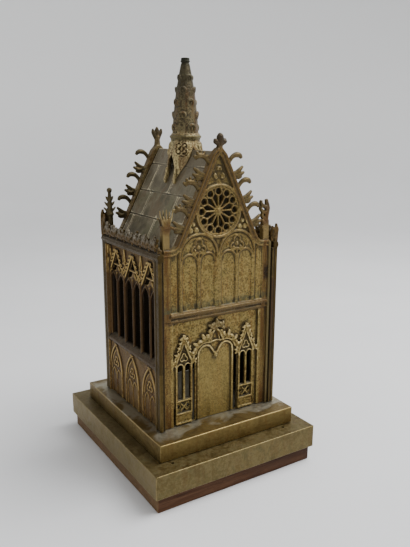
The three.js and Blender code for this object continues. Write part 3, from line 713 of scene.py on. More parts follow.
def upper_gable(petals, eyes):
    """What both end walls share above the string course."""
    plates, lines, drops = [], [], []
    eye_places = [arc(0, ROSE_Z, 13.6, 90 + i * 30, 90 + i * 30, 1)[0] for i in range(eyes)]
    eye_holes = [ring(x, z, 2.2, 14) for x, z in eye_places]
    plates.append(flat_outline("tracery", [ring(0, ROSE_Z, 17.4, 48), *petals, *eye_holes], -3.9, -1.5))
    storey = [(44.5, 119.6), *EDGE]
    storey += mirror(storey)[::-1]
    plates.append(flat_outline("storey", [storey, ring(0, ROSE_Z, 16.2, 48)], -3.0, -1.0))
    inner = beside(EDGE, 4.4)
    inner[0] = (44.5, inner[0][1])
    for half in (EDGE + inner[::-1], mirror(EDGE + inner[::-1])):
        plates.append(flat_outline("coping", [half], -3.2, 0.35))
    for inset, out, radius in ((0.7, 0.5, 0.85), (2.2, 0.1, 0.45), (3.9, 0.25, 0.6)):
        edge = beside(EDGE, inset)
        edge[0] = (44.6, edge[0][1])
        edge[-1] = (max(edge[-1][0], 0.3), edge[-1][1])
        lines += both([rib(edge, out, radius)])
    lines += [rib(ring(0, ROSE_Z, radius, 48), out, thick, True)
              for radius, out, thick in ((18.0, -0.35, 0.9), (16.3, -0.8, 0.55))]
    lines += [rib(ring(x, z, 2.75, 16), -1.15, 0.55, True) for x, z in eye_places]
    lines += trefoil_lines(0, 221, 3.1, 1.25, -0.45, 0.7)
    drops += [(dx, 221 + dz, -1.4, r, 1.2)
              for dx, dz, r in ((-2.697, -1.55, 1.5), (2.697, -1.55, 1.5), (0, 3.1, 1.3))]
    drops += [(x + dx, 184.2 + dz, -0.9, r, 1.35) for x in (-20.4, 20.4)
              for dx, dz, r in ((-2.3, -0.9, 2.1), (2.3, -0.9, 2.1), (0, 3.2, 1.5))]
    for x in (-16.1, 16.1):
        lines += [rib(arch(x, 15.3, 165.4, 127), -0.55, 0.95), rib(arch(x, 13.4, 164.6, 127), -0.9, 0.45)]
        lines += trefoil_lines(x, 171.2, 3.2, 2.7, -0.6, 0.65)
        lines += [[(x, 160.0, -0.8, 0.7), (x, 167.6, -0.7, 0.7)]]
        drops += [(x, 171.2, -0.8, 1.3, 0.9), *((x + dx, 168.6, -0.5, 1.1, 0.8) for dx in (-3, 3))]
    plates.append(flat_outline("string", [oblong(-39.4, 119.4, 43.6, 126.4)], -3.0, -0.75))
    for z, out, r in ((124, 0.1, 0.6), (125.3, 0.25, 1), (126.5, -0.3, 0.8), (121, -0.6, 0.75),
                      (119.9, -1.5, 0.6)):
        lines.append(rib([(-39.4, z), (43.6, z)], out, r))
    for i in range(6):
        z = 228.4 - i * 8.7
        if i % 2:
            lines += both(leaf_crocket(rake_x(z), z))
        else:
            lines += both([hook(rake_x(z), z)])
            drops += mirror(hook_beads(rake_x(z), z))
    return plates, lines, drops


DOOR, NICHES = -1.0, (-27.8, 26.4)


def niche_lines(x):
    """The frame, gablet and leaves of a windowed niche."""
    lines = []
    lines += [rib([(x + dx, 49.5), (x + dx, 90)], -1.6, 0.75) for dx in (-6.3, 6.3)]
    lines += [rib([(x - 6.6, z), (x + 6.6, z)], -1.5, r) for z, r in ((50.2, 0.7), (60.2, 0.75), (42.8, 0.8))]
    lines += [rib(arch(x + dx, 2.6, 85.6, 61, 8), -1.6, 0.5) for dx in (-3.05, 3.05)]
    lines += [rib([(x - 2.9, z), (x + 2.9, 110.6 - z)], -1.9, 0.55) for z in (52.2, 58.4)]
    gablet = [(7.4, 87.2), (4.4, 94.2), (1.8, 100.4), (0, 105.2)]
    lines += [shift(rib(side, -1.5, 0.85), x, 0) for side in (gablet, mirror(gablet))]
    lines += trefoil_lines(x, 92.6, 1.7, 1.5, -1.7, 0.45)
    for hand in (-1, 1):
        for dx, z, angle, size in ((7.2, 88.8, -62, 0.66), (4.9, 94.0, -52, 0.62), (3.0, 98.8, -46, 0.58),
                                   (1.6, 102.8, -62, 0.52)):
            lines += leaf(x + hand * dx, z, hand * angle, size, -1.9)
    lines += leaf(x, 105.0, 0, 0.82, -1.7) + leaf(x - 0.3, 107.4, 20, 0.5, -1.2)
    return lines


def door_lines(x):
    half = [(14.9, FOOT + 1), (14.9, 91.6), (14.4, 94.8), (12.8, 97.0), (10.4, 98.3), (7.6, 98.6),
            (5.2, 97.6), (3.2, 95.2), (1.4, 92.4), (0, 90.8)]
    lines = both([rib(half, -1.75, 0.85)])
    cap = curve_through([(17.4, 93.6), (15.4, 97.6), (12.0, 100.2), (8.6, 101.0), (5.8, 100.4)])
    light = [(6.4, 100.2), (5.3, 103.4), (3.1, 107.4), (0, 110.8)]
    inner = [(u * 0.62, z - 0.6) for u, z in light]
    lines += both([rib(cap, -1.6, 0.8), rib(light, -1.3, 0.9), rib(inner, -1.9, 0.45)])
    lines += [rib([(-6.2, 100.4), (0, 101.2), (6.2, 100.4)], -1.6, 0.6)]
    for hand in (-1, 1):
        for u, z, angle, size in ((16.8, 94.6, -82, 0.75), (14.4, 98.4, -54, 0.98), (9.4, 101.0, -20, 1.18),
                                  (4.0, 104.8, -70, 0.8)):
            lines += leaf(hand * u, z, hand * angle, size, -1.8)
    for u, z, angle, size, out in ((0, 110.6, 0, 1.2, -1.3), (-2.2, 110.2, 50, 0.95, -1.5),
                                   (2.6, 110.6, -44, 1.0, -1.6), (-0.4, 110.2, 14, 0.7, -0.5)):
        lines += leaf(u, z, angle, size, out)
    lines += [[(0, 91.2, -1.5, 1.4), (0, 88.6, -1.5, 1.0)], [(-1.6, 90.4, -1.5, 0.8), (1.6, 90.4, -1.5, 0.8)]]
    return [shift(line, x, 0) for line in lines]


def front_pinnacles():
    """The left head is broken off above a sheaf of blades; the right one keeps three inward curls."""
    lines, plates = [], []
    for x, top in ((-41.6, 184.0), (41.9, 186.0)):
        shaft = [(x - 2.7, 170.8), (x + 2.7, 170.8), (x + 2.6, top), (x - 2.6, top)]
        plates.append(flat_outline("shaft", [shaft], -4.8, -0.4))
    x = -41.4
    cup = [(-2.6, 183.0), (2.6, 183.0), (3.9, 187.6), (2.6, 188.6), (-2.6, 188.6), (-3.7, 187.6)]
    plates.append(flat_outline("cup", [shift(cup, x, 0)], -4.2, -0.6))
    for i in range(15):
        lean, out = (i - 7) * 0.82, (-3.6, -0.6, -2.1)[i % 3]
        tip = (194.8, 198.4, 196.4, 199.2, 195.6)[i % 5] - abs(i - 7) * 0.28
        lines.append(curve_through([(x + lean * 0.34, 186.0, out, 0.9), (x + lean * 0.5, 189.4, out, 0.75),
                                    (x + lean * 0.76, 192.8, out + 0.3, 0.58), (x + lean, tip, out, 0.42)]))
    x = 42.0
    lines.append(curve_through([(x, 184.6, -2.4, 2.5), (x + 0.7, 189.0, -2.4, 2.3),
                                (x + 1.9, 194.6, -2.4, 2.1), (x + 1.2, 198.6, -2.4, 1.7),
                                (x + 0.6, 201.2, -2.3, 1.3)]))
    for z, far in ((187.6, 3.6), (192.6, 5.2), (196.8, 5.0)):
        for out in (-3.2, -1.5):
            lines.append(curve_through([
                (x + 1.0, z - 1.8, out, 1.4), (x - far * 0.45, z - 0.2, out, 1.25),
                (x - far * 0.85, z + 1.9, out, 1.0), (x - far * 0.75, z + 3.8, out, 0.7)]))
    for z in (178.2, 182.8):
        lines.append(curve_through([(x + 1.0, z, -1.2, 1.0), (x - 2.6, z + 1.8, -0.9, 1.1),
                                    (x - 3.4, z + 4.0, -1.0, 0.7)]))
    return lines, plates


def front_finial():
    x = 0.6
    lines = [[(x - 0.4, 235.6, -1.3, 3.0), (x, 239.4, -1.3, 2.2), (x, 241.6, -1.3, 2.4)]]
    for dx, top, r in ((0, 248.4, 2.5), (-3.7, 244.8, 1.9), (3.7, 245.0, 1.9)):
        lines.append(curve_through([(x + dx * 0.2, 240.2, -1.0, 1.5), (x + dx * 0.8, 242.2, -0.8, r),
                                    (x + dx, top - 2.4, -0.8, r), (x + dx * 1.1, top - 0.4, -1.3, r * 0.4)]))
    return lines


def front_openings():
    holes = []
    for side, x in zip((-1, 1), NICHES):
        for dx in (-3.05, 3.05):
            holes.append(arch(x + dx, 2.45, 85.6, 61.2, 10))
        for dx, z in ((-3.9, 55.3), (3.9, 55.3), (0, 51.9), (0, 58.6)):
            wide, high = (1.3, 1.9) if dx else (2.0, 1.1)
            holes.append([(x + dx + wide, z), (x + dx, z + high), (x + dx - wide, z), (x + dx, z - high)])
        for near, far, top in ((17.1, 19.8, 88.5), (34.0, 35.6, 55.0)):
            x0, x1 = sorted((side * near + DOOR, side * far + DOOR))
            holes.append(oblong(x0, FOOT + 0.4, x1, top))
    return holes


def wall_back(holes):
    right = [(44.5, FOOT), *EDGE]
    return flat_outline("wall", [right + mirror(right)[::-1], ring(0, ROSE_Z, 16.2, 48), *holes], -4.4, -2.7)


def borders(outline, out):
    return [flat_outline("border", [side], -3.2, out) for side in (outline, mirror(outline)[::-1])]


petals = [petal(math.radians(90 + (i + 0.5) * 30)) for i in range(12)]
plates, lines, drops = upper_gable(petals, 12)
plates.append(wall_back(front_openings()))
for inner, foot, top, out in ((36.8, FOOT, 120.5, -0.7), (33.6, 121, 169.5, -0.6), (38.9, 121, 169.5, 0.0)):
    plates += borders(oblong(inner, foot, 44.5, top), out)
plates.append(flat_outline("rebate", [oblong(43.7, FOOT, 46.0, 170.5)], -4.4, 1.1))
for x in NICHES:
    plates.append(flat_outline("niche_base", [oblong(x - 6.9, FOOT + 0.3, x + 6.9, 49.8)], -3.2, -1.5))
    lines += niche_lines(x)
lines += [rib(arch(x + dx, 6.6, 160.4, 127), -0.6, 0.65) for x in (-16.1, 16.1) for dx in (-7.4, 7.4)]
for i in range(12):
    lines.append(rib([arc(0, ROSE_Z, reach, 90 + i * 30, 90, 1)[0] for reach in (2.0, 10.8)], -1.25, 0.6))
pinnacle_lines, pinnacle_plates = front_pinnacles()
plates += pinnacle_plates
lines += door_lines(DOOR) + pinnacle_lines + front_finial()
drops += [(0, ROSE_Z, -1.1, 2.0, 1.3)]
front = cast([*plates, tubes("ribs", lines), beads("drops", drops)], "facade", 0.36, 150000)
keep_wall_relief(front, 1.6)
to_metres(front, place=(0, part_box("front_wall")[0].y + 0.002, 0))


def under_roof(z, out):
    """1 within the roof's slopes and anywhere below its eaves, 0 outside."""
    return (126.9 - z * 0.5362 - out).between(-0.5, 0.5).math("MAXIMUM", 1 - z.between(168, 170))


def facade_marks(finish, tone, relief, mottle):
    """The door is smoother and more golden, the mouldings above it are red-brown, the coping is redder
    still, the shafts are dusty and the tips dark; one dark stain is on the right. Highlights are painted on
    the crest leaves, the gable's high relief, its beads and the left pinnacle's blades. Inside, painted
    shade makes it black."""
    x, y, z = map(finish.along, "XYZ")
    out = x.math("ABSOLUTE")
    along = (x - DOOR).math("ABSOLUTE")
    drips = finish.noise(3.4, 3, 0.6, stretch=(1, 1, 0.1))
    door = (1 - along.between(14.5, 15.1)) * (1 - z.between(90.5, 94.0))
    finial = (1 - along.between(7.5, 9.5)) * z.within(108.5, 110.5, 118.0, 118.5)
    # Painted highlights: lit picks patches of the crest's raised leaves to be painted bright.
    lit = 0.3 + mottle.between(0.46, 0.58) * 0.7
    crest = relief.between(0.22, 0.62) * lit * (1 - z.between(117, 119)) * z.between(60, 85)
    rake = rake_x(z) - out
    coping = rake.within(-1.2, -0.4, 4.6, 5.2) * z.between(171.5, 174.0)
    crockets = (1 - rake.between(-1.2, -0.4)) * z.between(174.0, 176.5) * (1 - out.between(36.0, 37.5))
    beads_lit = (relief.between(0.25, 0.6) * z.within(179.5, 180.5, 187.0, 188.5)
                 * out.within(16.0, 16.5, 24.5, 25.0))
    border = out.between(38.6, 39.2)
    head = z.between(181, 186) * out.between(34.5, 37.0)
    stain = x.between(38.5, 41.5) * z.within(140, 144, 150, 156) * mottle.between(0.3, 0.48)
    return finish.coats(
        tone,
        (door * 0.5, (0.235, 0.178, 0.058)),
        (door * drips.between(0.5, 0.6) * (1 - z.between(45, 75)) * 0.5, (0.1, 0.07, 0.02)),
        (finial * relief.between(-0.1, 0.2) * 0.7, (0.075, 0.055, 0.028)),
        (crest * (1 - finial * 0.6) * 0.9, (0.52, 0.41, 0.19)),
        (relief.between(0.04, 0.34) * z.between(118, 122) * 0.7, (0.135, 0.086, 0.034)),
        (z.within(118.5, 119.0, 127.0, 127.5) * 0.7, (0.112, 0.074, 0.036)),
        (coping * 0.65, (0.115, 0.066, 0.026)),
        (crockets * 0.65, (0.062, 0.046, 0.024)),
        (z.within(214.5, 216.5, 232.0, 234.0) * (1 - coping) * 0.5, (0.1, 0.07, 0.026)),
        # Painted highlights on the high relief of the gable and on the spandrel beads.
        (relief.between(0.3, 0.8) * z.between(168, 172) * (1 - coping) * 0.65, (0.42, 0.34, 0.16)),
        (beads_lit * 0.7, (0.48, 0.4, 0.17)),
        (border * (0.45 + drips.between(0.42, 0.6) * 0.5), (0.098, 0.05, 0.017)),
        (z.within(127.0, 127.5, 128.5, 135.0) * mottle.between(0.35, 0.6) * 0.8, (0.07, 0.072, 0.04)),
        (border * z.within(171.5, 172.5, 180, 186) * 0.6, (0.27, 0.205, 0.085)),
        (head * (1 - z.between(186, 191)) * 0.55, (0.12, 0.07, 0.034)),
        # Painted highlight on the blades of the broken left pinnacle.
        (head * (1 - x.between(-1, 0)) * z.between(188, 196) * 0.5, (0.42, 0.33, 0.15)),
        (head * x.between(0, 1) * z.between(188, 198) * 0.6, (0.075, 0.06, 0.036)),
        (z.between(236, 242) * 0.85, (0.048, 0.036, 0.024)),
        (stain * 0.85, (0.018, 0.014, 0.011)),
        (x.between(43.6, 43.8) * (1 - z.between(171, 172)) * 0.8, (0.12, 0.096, 0.042)),
        # Painted shade: the inner face below the roof is painted nearly black.
        (y.between(-42.8, -42.0) * under_roof(z, out) * 0.9, (0.014, 0.01, 0.006)))


tones = ((0.132, 0.089, 0.027), (0.196, 0.138, 0.044), (0.25, 0.183, 0.063), (0.38, 0.29, 0.115))
dressed(front, old_brass("facade_brass", tones, grain=1.0, line=0.74, red=0.4, olive=0.3, dull=0.48,
                         paint=facade_marks))
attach(front, "root")
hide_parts("front_wall")


# ---- rear wall ----
# Cast from the same pattern as the facade above the string course, and plain below it. Its rose has
# eight plain wedges, its finial and pinnacles are whole, and its brass is browner.
def spiky_pinnacle(x):
    stem = ((170.6, 2.7), (184.8, 2.6), (185.2, 3.2), (186.4, 3.3), (187.4, 2.6), (190.0, 2.2), (203.0, 1.3))
    lines = [[(x, z, -2.2, r) for z, r in stem]]
    for z, reach in ((190.6, 5.0), (194.9, 4.2), (199.0, 3.1)):
        for hand in (-1, 1):
            lines.append(curve_through([(x, z - 3.2, -2.2, 1.4), (x + hand * reach * 0.6, z - 1.2, -2.0, 1.1),
                                        (x + hand * reach, z + 0.9, -2.0, 0.5)]))
        lines.append(curve_through([(x, z - 3.2, -1.4, 1.3), (x, z - 1.0, 0.2, 1.0), (x, z + 0.9, 0.4, 0.5)]))
    return lines


def rear_finial():
    lines = [[(0, 235.6, -1.3, 2.9), (0, 240.0, -1.3, 2.5), (0, 245.0, -1.3, 2.1)]]
    for dx, top, r in ((0, 252.4, 1.9), (-3.4, 251.0, 1.6), (3.4, 251.0, 1.6)):
        lines.append(curve_through([(dx * 0.2, 242.6, -1.2, 1.6), (dx * 0.7, 246.0, -1.0, r),
                                    (dx, top - 2.6, -1.0, r), (dx * 1.1, top, -1.3, 0.7)]))
    return lines


wedges = []
for i in range(8):
    middle = 22.5 + i * 45
    wedges.append([*arc(0, ROSE_Z, 4.2, middle, middle, 1)[:1],
                   *arc(0, ROSE_Z, 15.2, middle - 18, middle + 18, 6)])
plates, lines, drops = upper_gable(wedges, 0)
plates += [wall_back([]), *borders(oblong(38.9, FOOT, 44.5, 169.5), 0.0)]
lines.append(rib([(28, FOOT + 5), (28, 112), (-28, 112), (-28, FOOT + 5)], -2.0, 0.9, True))
lines += spiky_pinnacle(-42.8) + spiky_pinnacle(42.8) + rear_finial()
drops += [(x, 204.4, -2.2, 2.2, 2.2) for x in (-42.8, 42.8)] + [(0, ROSE_Z, -1.3, 2.6, 1.6)]
rear = cast([*plates, tubes("ribs", lines), beads("drops", drops)], "rear_gable", 0.42, 100000)
keep_wall_relief(rear, 1.2)
to_metres(rear, math.pi, (0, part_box("rear_wall")[1].y - 0.0018, 0))


def rear_marks(finish, tone, relief, mottle):
    """The inside is painted black as shade, and the pinnacles and finial are nearly black."""
    x, y, z = map(finish.along, "XYZ")
    out = x.math("ABSOLUTE")
    crockets = 1 - (rake_x(z) - out).between(-1.2, -0.4)
    # Painted shade: the inner face below the roof is painted nearly black.
    inside = (1 - y.between(42.0, 42.8)) * under_roof(z, out)
    return finish.coats(tone, (crockets * z.between(172, 176) * 0.75, (0.05, 0.04, 0.02)),
                        (z.between(232, 242) * 0.5, (0.06, 0.045, 0.028)),
                        (inside * 0.9, (0.014, 0.01, 0.006)))


tones = ((0.1, 0.068, 0.03), (0.15, 0.108, 0.048), (0.2, 0.15, 0.066), (0.3, 0.23, 0.11))
dressed(rear, old_brass("rear_brass", tones, grain=0.9, red=0.45, olive=0.4, dull=0.52, paint=rear_marks))
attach(rear, "root")
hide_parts("rear_wall")


# ---- side walls ----
# Two castings from one pattern: a blind arcade below, three pierced double windows under gablets,
# a cornice and a leafy parapet. Only the tall leaf at one end differs. Browner than the facade.
BAY, SILL = 27.44, (86.4, 91.2)


def pointed(u, half, spring, apex, foot, steps=7):
    rise = apex - spring
    radius = (half * half + rise * rise) / (2 * half)
    end = math.degrees(math.asin(rise / radius))
    right = arc(half - radius, spring, radius, 0, end, steps)
    outline = [(half, foot), *right, *mirror(right)[-2::-1], (-half, foot)]
    return [(u + x, z) for x, z in outline]


def side_wall(name, tip, thick):
    plates, lines, drops = [], [], []
    end, inner, back = 47.6, 41.0, -6.1
    quarter = BAY / 4
    holes = []
    for i in (-1, 0, 1):
        u = i * BAY
        holes += [pointed(u + hand * quarter, quarter - 1.2, 132, 141.2, SILL[1] - 1) for hand in (-1, 1)]
        light = [(-5.0, 149.8), (5.0, 149.8), (2.7, 153.8), (0.7, 157.6), (-0.7, 157.6), (-2.7, 153.8)]
        holes.append(shift(light, u, 0))
        spandrel = [(1.4, 147.9), (6.9, 147.9), (10.4, 143.0), (8.4, 142.9), (3.6, 144.2)]
        holes += [[(u + hand * x, z) for x, z in spandrel] for hand in (-1, 1)]
        for hand in (-1, 1):
            lines.append(rib(pointed(u + hand * quarter, quarter - 0.9, 132, 142.0, SILL[1] - 1), -3.8, 0.6))
        apex, foot = (u, 160.6), (u + BAY / 2 - 0.8, 140.6)
        for points in ([foot, apex], [(2 * u - foot[0], foot[1]), apex]):
            lines.append(rib(points, -3.2, 0.7))
        lines.append([(u - 5.4, 148.8, -3.8, 0.55), (u + 5.4, 148.8, -3.8, 0.55)])
        lines.append([(u, SILL[1] - 1, -3.5, 0.85), (u, 143, -3.5, 0.85)])
    for u in (-BAY / 2, BAY / 2):
        lines.append([(u, SILL[1] - 1, -3.4, 1.25), (u, 143, -3.4, 1.25)])
    plates.append(flat_outline("window", [oblong(-inner, SILL[0], inner, 165.5), *holes], -5.1, -4.1))
    for u in (-inner + 2.2, -BAY / 2, BAY / 2, inner - 2.2):
        for hand in (-1, 1):
            side = u + hand * 1.5
            lines.append([(side, 143.0, -3.5, 0.6), (side, 155.4, -3.5, 0.6), (u, 163.2, -3.5, 0.5)])
        lines += leaf(u, 146.6, 0, 0.62, -3.9) + leaf(u, 150.8, 0, 0.55, -3.9)
    for i in (-1, 0, 1):
        for hand in (-1, 1):
            for reach, z in ((2.2, 159.0), (4.3, 155.8), (6.4, 152.6), (8.5, 149.4), (10.6, 146.2)):
                lines += leaf(i * BAY + hand * reach, z, hand * -34, 0.42, -3.4)
    plates.append(flat_outline("panel", [oblong(-inner, FOOT, inner, SILL[0] + 1)], back, -1.8))
    sill = [(back, 85.4), (-1.2, 85.4), (-0.4, 86.2), (-0.2, 87.8), (-0.9, 88.6), (-4.1, 91.2), (back, 91.2)]
    plates.append(flat_outline("sill", [sill], -inner, inner, "section"))
    for i in (-1, 0, 1):
        u = i * 28.8
        lines += [rib(pointed(u, 10.6, 62, 83.6, FOOT + 0.6, 8), -1.5, 0.95),
                  rib(pointed(u, 8.6, 61.6, 79.6, FOOT + 0.6, 8), -1.7, 0.5)]
        for hand in (-1, 1):
            lines.append(rib(pointed(u + hand * 4.2, 3.9, 56.5, 63.6, FOOT + 0.6), -1.6, 0.5))
        lines += trefoil_lines(u, 69.2, 2.2, 2.0, -1.5, 0.5) + leaf(u, 83.0, 0, 0.42, -1.4)
        drops.append((u, 69.2, -1.7, 1.2, 0.8))
    for hand in (-1, 1):
        post = [(37.0, -back), (inner, -back), (inner, thick), (end, thick), (end, 3.4), (end - 0.7, 3.1),
                (end - 0.7, 2.7), (end, 2.4), (end, 0.8), (end - 0.8, 0), (43.6, 0.0),
                (43.2, 0.5), (42.6, 0.5), (42.2, 0.0), (39.8, 0.0), (39.2, 0.9), (37.8, 4.1)]
        post = [(hand * u, v) for u, v in post][::hand]
        plates.append(flat_outline("post", [post], FOOT, 165.2, "plan"))
        lines += [[(hand * 38.2, SILL[1] - 1, -3.1, 0.75), (hand * 38.2, 160, -3.1, 0.75)]]
    shelf = [(-4.0, 164.7), (-0.4, 164.7), (0.0, 165.4), (0.1, 166.2), (0.7, 166.6), (0.7, 167.6),
             (0.2, 168.2), (0.2, 169.2), (-0.2, 169.5), (-4.0, 169.5)]
    plates.append(flat_outline("cornice", [shelf], -end, end, "section"))
    plates.append(flat_outline("cornice_back", [oblong(-inner, 164.9, inner, 169.4)], back, -3.4))
    plates.append(flat_outline("parapet", [oblong(0.3 - end, 169, end - 0.3, 172.6)], -3.2, -1.3))
    for i in range(7):
        u = (i - 3) * 13.0
        lean = (0.5, -0.4, 0.2, -0.6, 0.4, -0.1, 0.6)[i]
        lumps = [(0, 176.4, -1.2, 2.5, 1.6), (-3.2, 174.6, -1.3, 2.2, 1.5), (3.2, 174.9, -1.2, 2.2, 1.5),
                 (lean, 179.2 + lean, -1.4, 1.7, 1.3), (-1.4, 172.4, -0.9, 1.6, 1.1),
                 (1.7, 172.2, -0.9, 1.6, 1.1), (-3.9, 177.6 - lean, -1.6, 1.5, 1.2),
                 (3.9, 177.8 + lean, -1.6, 1.5, 1.2)]
        drops += shift(lumps, u, 0)
        for a in (-2.2, 0.2, 2.4):
            lines.append(curve_through([(u + a * 0.4, 171.2, -0.8, 0.6), (u + a, 174.4, -0.2, 0.6),
                                        (u + a * 0.7, 177.8, -0.8, 0.4)]))
    for i in range(6):
        u = (i - 2.5) * 13.0
        swag = [(u - 5.6, 171.0, -1.2, 0.9), (u, 173.0, -1.0, 1.0), (u + 5.6, 171.0, -1.2, 0.9)]
        lines.append(curve_through(swag, 4))
        drops += [(u, 173.6, -1.5, 1.3, 1.1), (u - 0.4, 171.0, -1.0, 1.2, 0.8)]
    u = -end + 2.4
    for stem in ([(0, 170.0, -0.9, 1.9), (-0.2, 176.0, -0.8, 1.9), (-0.6, tip - 5.5, -0.8, 1.7),
                  (-0.2, tip - 0.8, -0.9, 0.9)],
                 [(0.4, 172.0, -0.8, 1.4), (2.4, tip - 9.0, -0.6, 1.4), (2.2, tip - 4.2, -0.8, 0.7)],
                 [(0, tip - 9.0, -0.6, 1.3), (-1.6, tip - 5.6, -0.6, 1.2), (-1.5, tip - 3.0, -0.8, 0.7)],
                 [(3.4, 171.0, -1.0, 1.7), (2.6, 175.4, -1.0, 1.7), (0.8, tip - 7.6, -1.0, 1.1)],
                 [(0.4, 170.0, -4.0, 1.8), (0.2, 176.0, -4.2, 1.7), (0, tip - 2.4, -4.0, 0.8)],
                 [(0, 171.0, -2.4, 1.8), (0, 178.0, -2.4, 1.6), (-0.2, tip - 3.6, -2.6, 0.9)]):
        lines.append(curve_through(shift(stem, u, 0)))
    stub = [(0, 169.6, -1.8, 1.4), (0.3, 171.6, -1.6, 1.5), (-0.6, 173.4, -1.6, 1.0)]
    lines.append(curve_through(shift(stub, end - 2.4, 0)))
    return cast([*plates, tubes("ribs", lines), beads("drops", drops)], name, 0.4, 120000)


def side_marks(finish, tone, relief, mottle):
    """Gold shows on leaves and mouldings; the shafts are red-brown; the posts and cornice are olive; the
    window reveals are darkened and the inside is made black with painted shade; the parapet is dusty."""
    x, y, z = map(finish.along, "XYZ")
    across = y.math("ABSOLUTE")
    depth = (x + 48.85).math("MINIMUM", 51.85 - x)
    # Painted shade in the window reveals.
    reveal_shade = depth.between(1.2, 3.6) * z.within(89, 92, 140, 145)
    raised = (relief + (mottle - 0.5) * 0.6).between(0.06, 0.38)
    post = across.between(40.2, 41.5) * (1 - z.between(165, 166)) * (1 - reveal_shade)
    tips = z.between(173.5, 176.5) * mottle.between(0.4, 0.52) * (1 - across.between(40.5, 42.5))
    return finish.coats(
        tone,
        # Painted shade darkens the window reveals.
        (reveal_shade * 0.55, (0.03, 0.018, 0.011)),
        (z.within(141.5, 144.0, 163.0, 164.5) * raised * 0.9, (0.44, 0.31, 0.11)),
        ((1 - z.between(84, 86)) * raised * 0.85, (0.4, 0.28, 0.105)),
        (z.within(84.0, 86.0, 90.5, 92.0) * 0.65, (0.058, 0.044, 0.03)),
        (z.within(91, 94, 139, 143) * 0.55, (0.058, 0.032, 0.016)),
        (post * 0.8, (0.05, 0.035, 0.01)),
        (z.between(163.0, 164.5) * 0.85, (0.044, 0.03, 0.009)),
        (z.between(169.5, 170.5) * mottle.between(0.4, 0.6) * 0.8, (0.15, 0.092, 0.038)),
        (tips * 0.65, (0.235, 0.22, 0.175)),
        # Painted shade: the inner faces are painted nearly black.
        (depth.between(4.7, 5.3) * (1 - z.between(168, 170)) * 0.9, (0.012, 0.009, 0.006)))


tones = ((0.072, 0.04, 0.014), (0.11, 0.064, 0.021), (0.148, 0.09, 0.031), (0.32, 0.215, 0.08))
side_brass = old_brass("side_brass", tones, grain=0.35, line=0.8, red=0.5, olive=0.35, dust=0.4, dull=0.5,
                       paint=side_marks)
left_face, right_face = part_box("left_wall")[0].x + 0.00065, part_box("right_wall")[1].x - 0.00065
for name, node, tip, thick, face, turn in (("left_side", "left_wall", 190.6, 4.0, left_face, -math.pi / 2),
                                           ("right_side", "right_wall", 183.8, 5.9, right_face, math.pi / 2)):
    side = side_wall(name, tip, thick)
    keep_wall_relief(side, 1.5)
    to_metres(side, turn, (face, 0, 0))
    dressed(side, side_brass)
    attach(side, "root")
    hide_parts(node)


# ---- roof ----
# One folded brass sheet with a level gutter on each side. Slabs are laid out on it by chased lines,
# and its patina is grey and olive, with painted highlights along the chased edges.
roof_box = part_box("roof")
RIDGE, SLOPE = roof_box[1].z / MM, math.radians(61.8)


def roof_slab(y0, y1, low, high):
    """A slab on the right-hand slope, between two heights."""
    long = (high - low) / math.sin(SLOPE)
    slab = block("slab", (0, y0 + 0.26, -1.1), (long - 0.84, y1 - 0.26, 0.0))
    finish_with(slab, "BEVEL", width=0.4, segments=2)
    x = (RIDGE - high) / math.tan(SLOPE)
    slab.data.transform(Matrix.Translation((x, 0, high)) @ Matrix.Rotation(SLOPE, 4, "Y")
                        @ Matrix.Translation((0.42, 0, 0)))
    return slab


depth = roof_box[1].y / MM
sheet_top = RIDGE - 1.1
eave = (sheet_top - 169.9) / math.tan(SLOPE)
inner_ridge = sheet_top - 0.8 / math.cos(SLOPE)
inner_eave = (inner_ridge - 168.3) / math.tan(SLOPE)
outline = [(42.3, 168.3), (42.3, 169.9), (eave, 169.9), (0, sheet_top), (-eave, 169.9), (-42.3, 169.9),
           (-42.3, 168.3), (-inner_eave, 168.3), (0, inner_ridge), (inner_eave, 168.3)]
slabs = [flat_outline("sheet", [outline], -depth, depth)]
courses = [(224.3, RIDGE - 0.2, (10.6,)), (204.4, 224.3, (-2.7, 27.5)), (186.6, 204.4, (21.3, -20.0)),
           (170.2, 186.6, (-2.0, 33.0))]
for low, high, joints in courses:
    edges = sorted([-depth, *joints, depth])
    for y0, y1 in zip(edges, edges[1:]):
        right = roof_slab(y0, y1, low, high)
        left = copied(right, Matrix.Rotation(math.pi, 4, "Z") @ Matrix.Scale(-1, 4, (0, 1, 0)))
        left.data.flip_normals()
        slabs += [right, left]
roof = cast(slabs, "roof_sheet", 0.34, 60000, finest=2, unseen=(0, 0, -1), soften=1)
keep_relief(roof, 6, 0.2)
to_metres(roof)


def roof_patina():
    finish = Finish("roof_patina")
    clouds = finish.noise(24, 3, 0.6, twist=0.5)
    wash = finish.noise(9, 4, 0.6, stretch=(1, 1, 0.4), twist=0.6)
    mottle = finish.noise(2.4, 3, 0.65)
    specks = finish.noise(1.0, 2, 0.6)
    age = clouds * 0.45 + wash * 0.35 + mottle * 0.2
    tone = finish.ramp(age, (0.4, (0.09, 0.078, 0.044)), (0.47, (0.16, 0.138, 0.082)),
                       (0.54, (0.235, 0.202, 0.128)), (0.61, (0.18, 0.164, 0.11)))
    high = finish.along("Z").between(195, 225)
    relief = finish.own("relief")
    chased = (relief * -1).between(0.05, 0.35)
    tone = finish.coats(
        tone,
        (clouds.between(0.5, 0.6) * 0.6 * (1 - high), (0.105, 0.106, 0.048)),
        (high * 0.45, (0.205, 0.178, 0.135)),
        (wash.between(0.52, 0.6) * 0.5, (0.12, 0.078, 0.036)),
        ((1 - specks.between(0.4, 0.5)) * 0.25, (0.07, 0.062, 0.036)),
        (chased * 0.9, (0.025, 0.022, 0.012)),
        # Painted highlights along the raised edges of the slabs.
        (relief.between(0.06, 0.3) * mottle.between(0.3, 0.5) * 0.9, (0.6, 0.53, 0.36)))
    return finish.surface(0.45, Base_Color=tone, Metallic=(0.6 - chased * 0.4).held(),
                          Roughness=(0.55 + (mottle - 0.5) * 0.5).held(),
                          Normal=finish.bump(mottle * 0.6 + specks * 0.4, 0.2, 0.8))


dressed(roof, roof_patina())
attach(roof, "root")
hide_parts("roof")


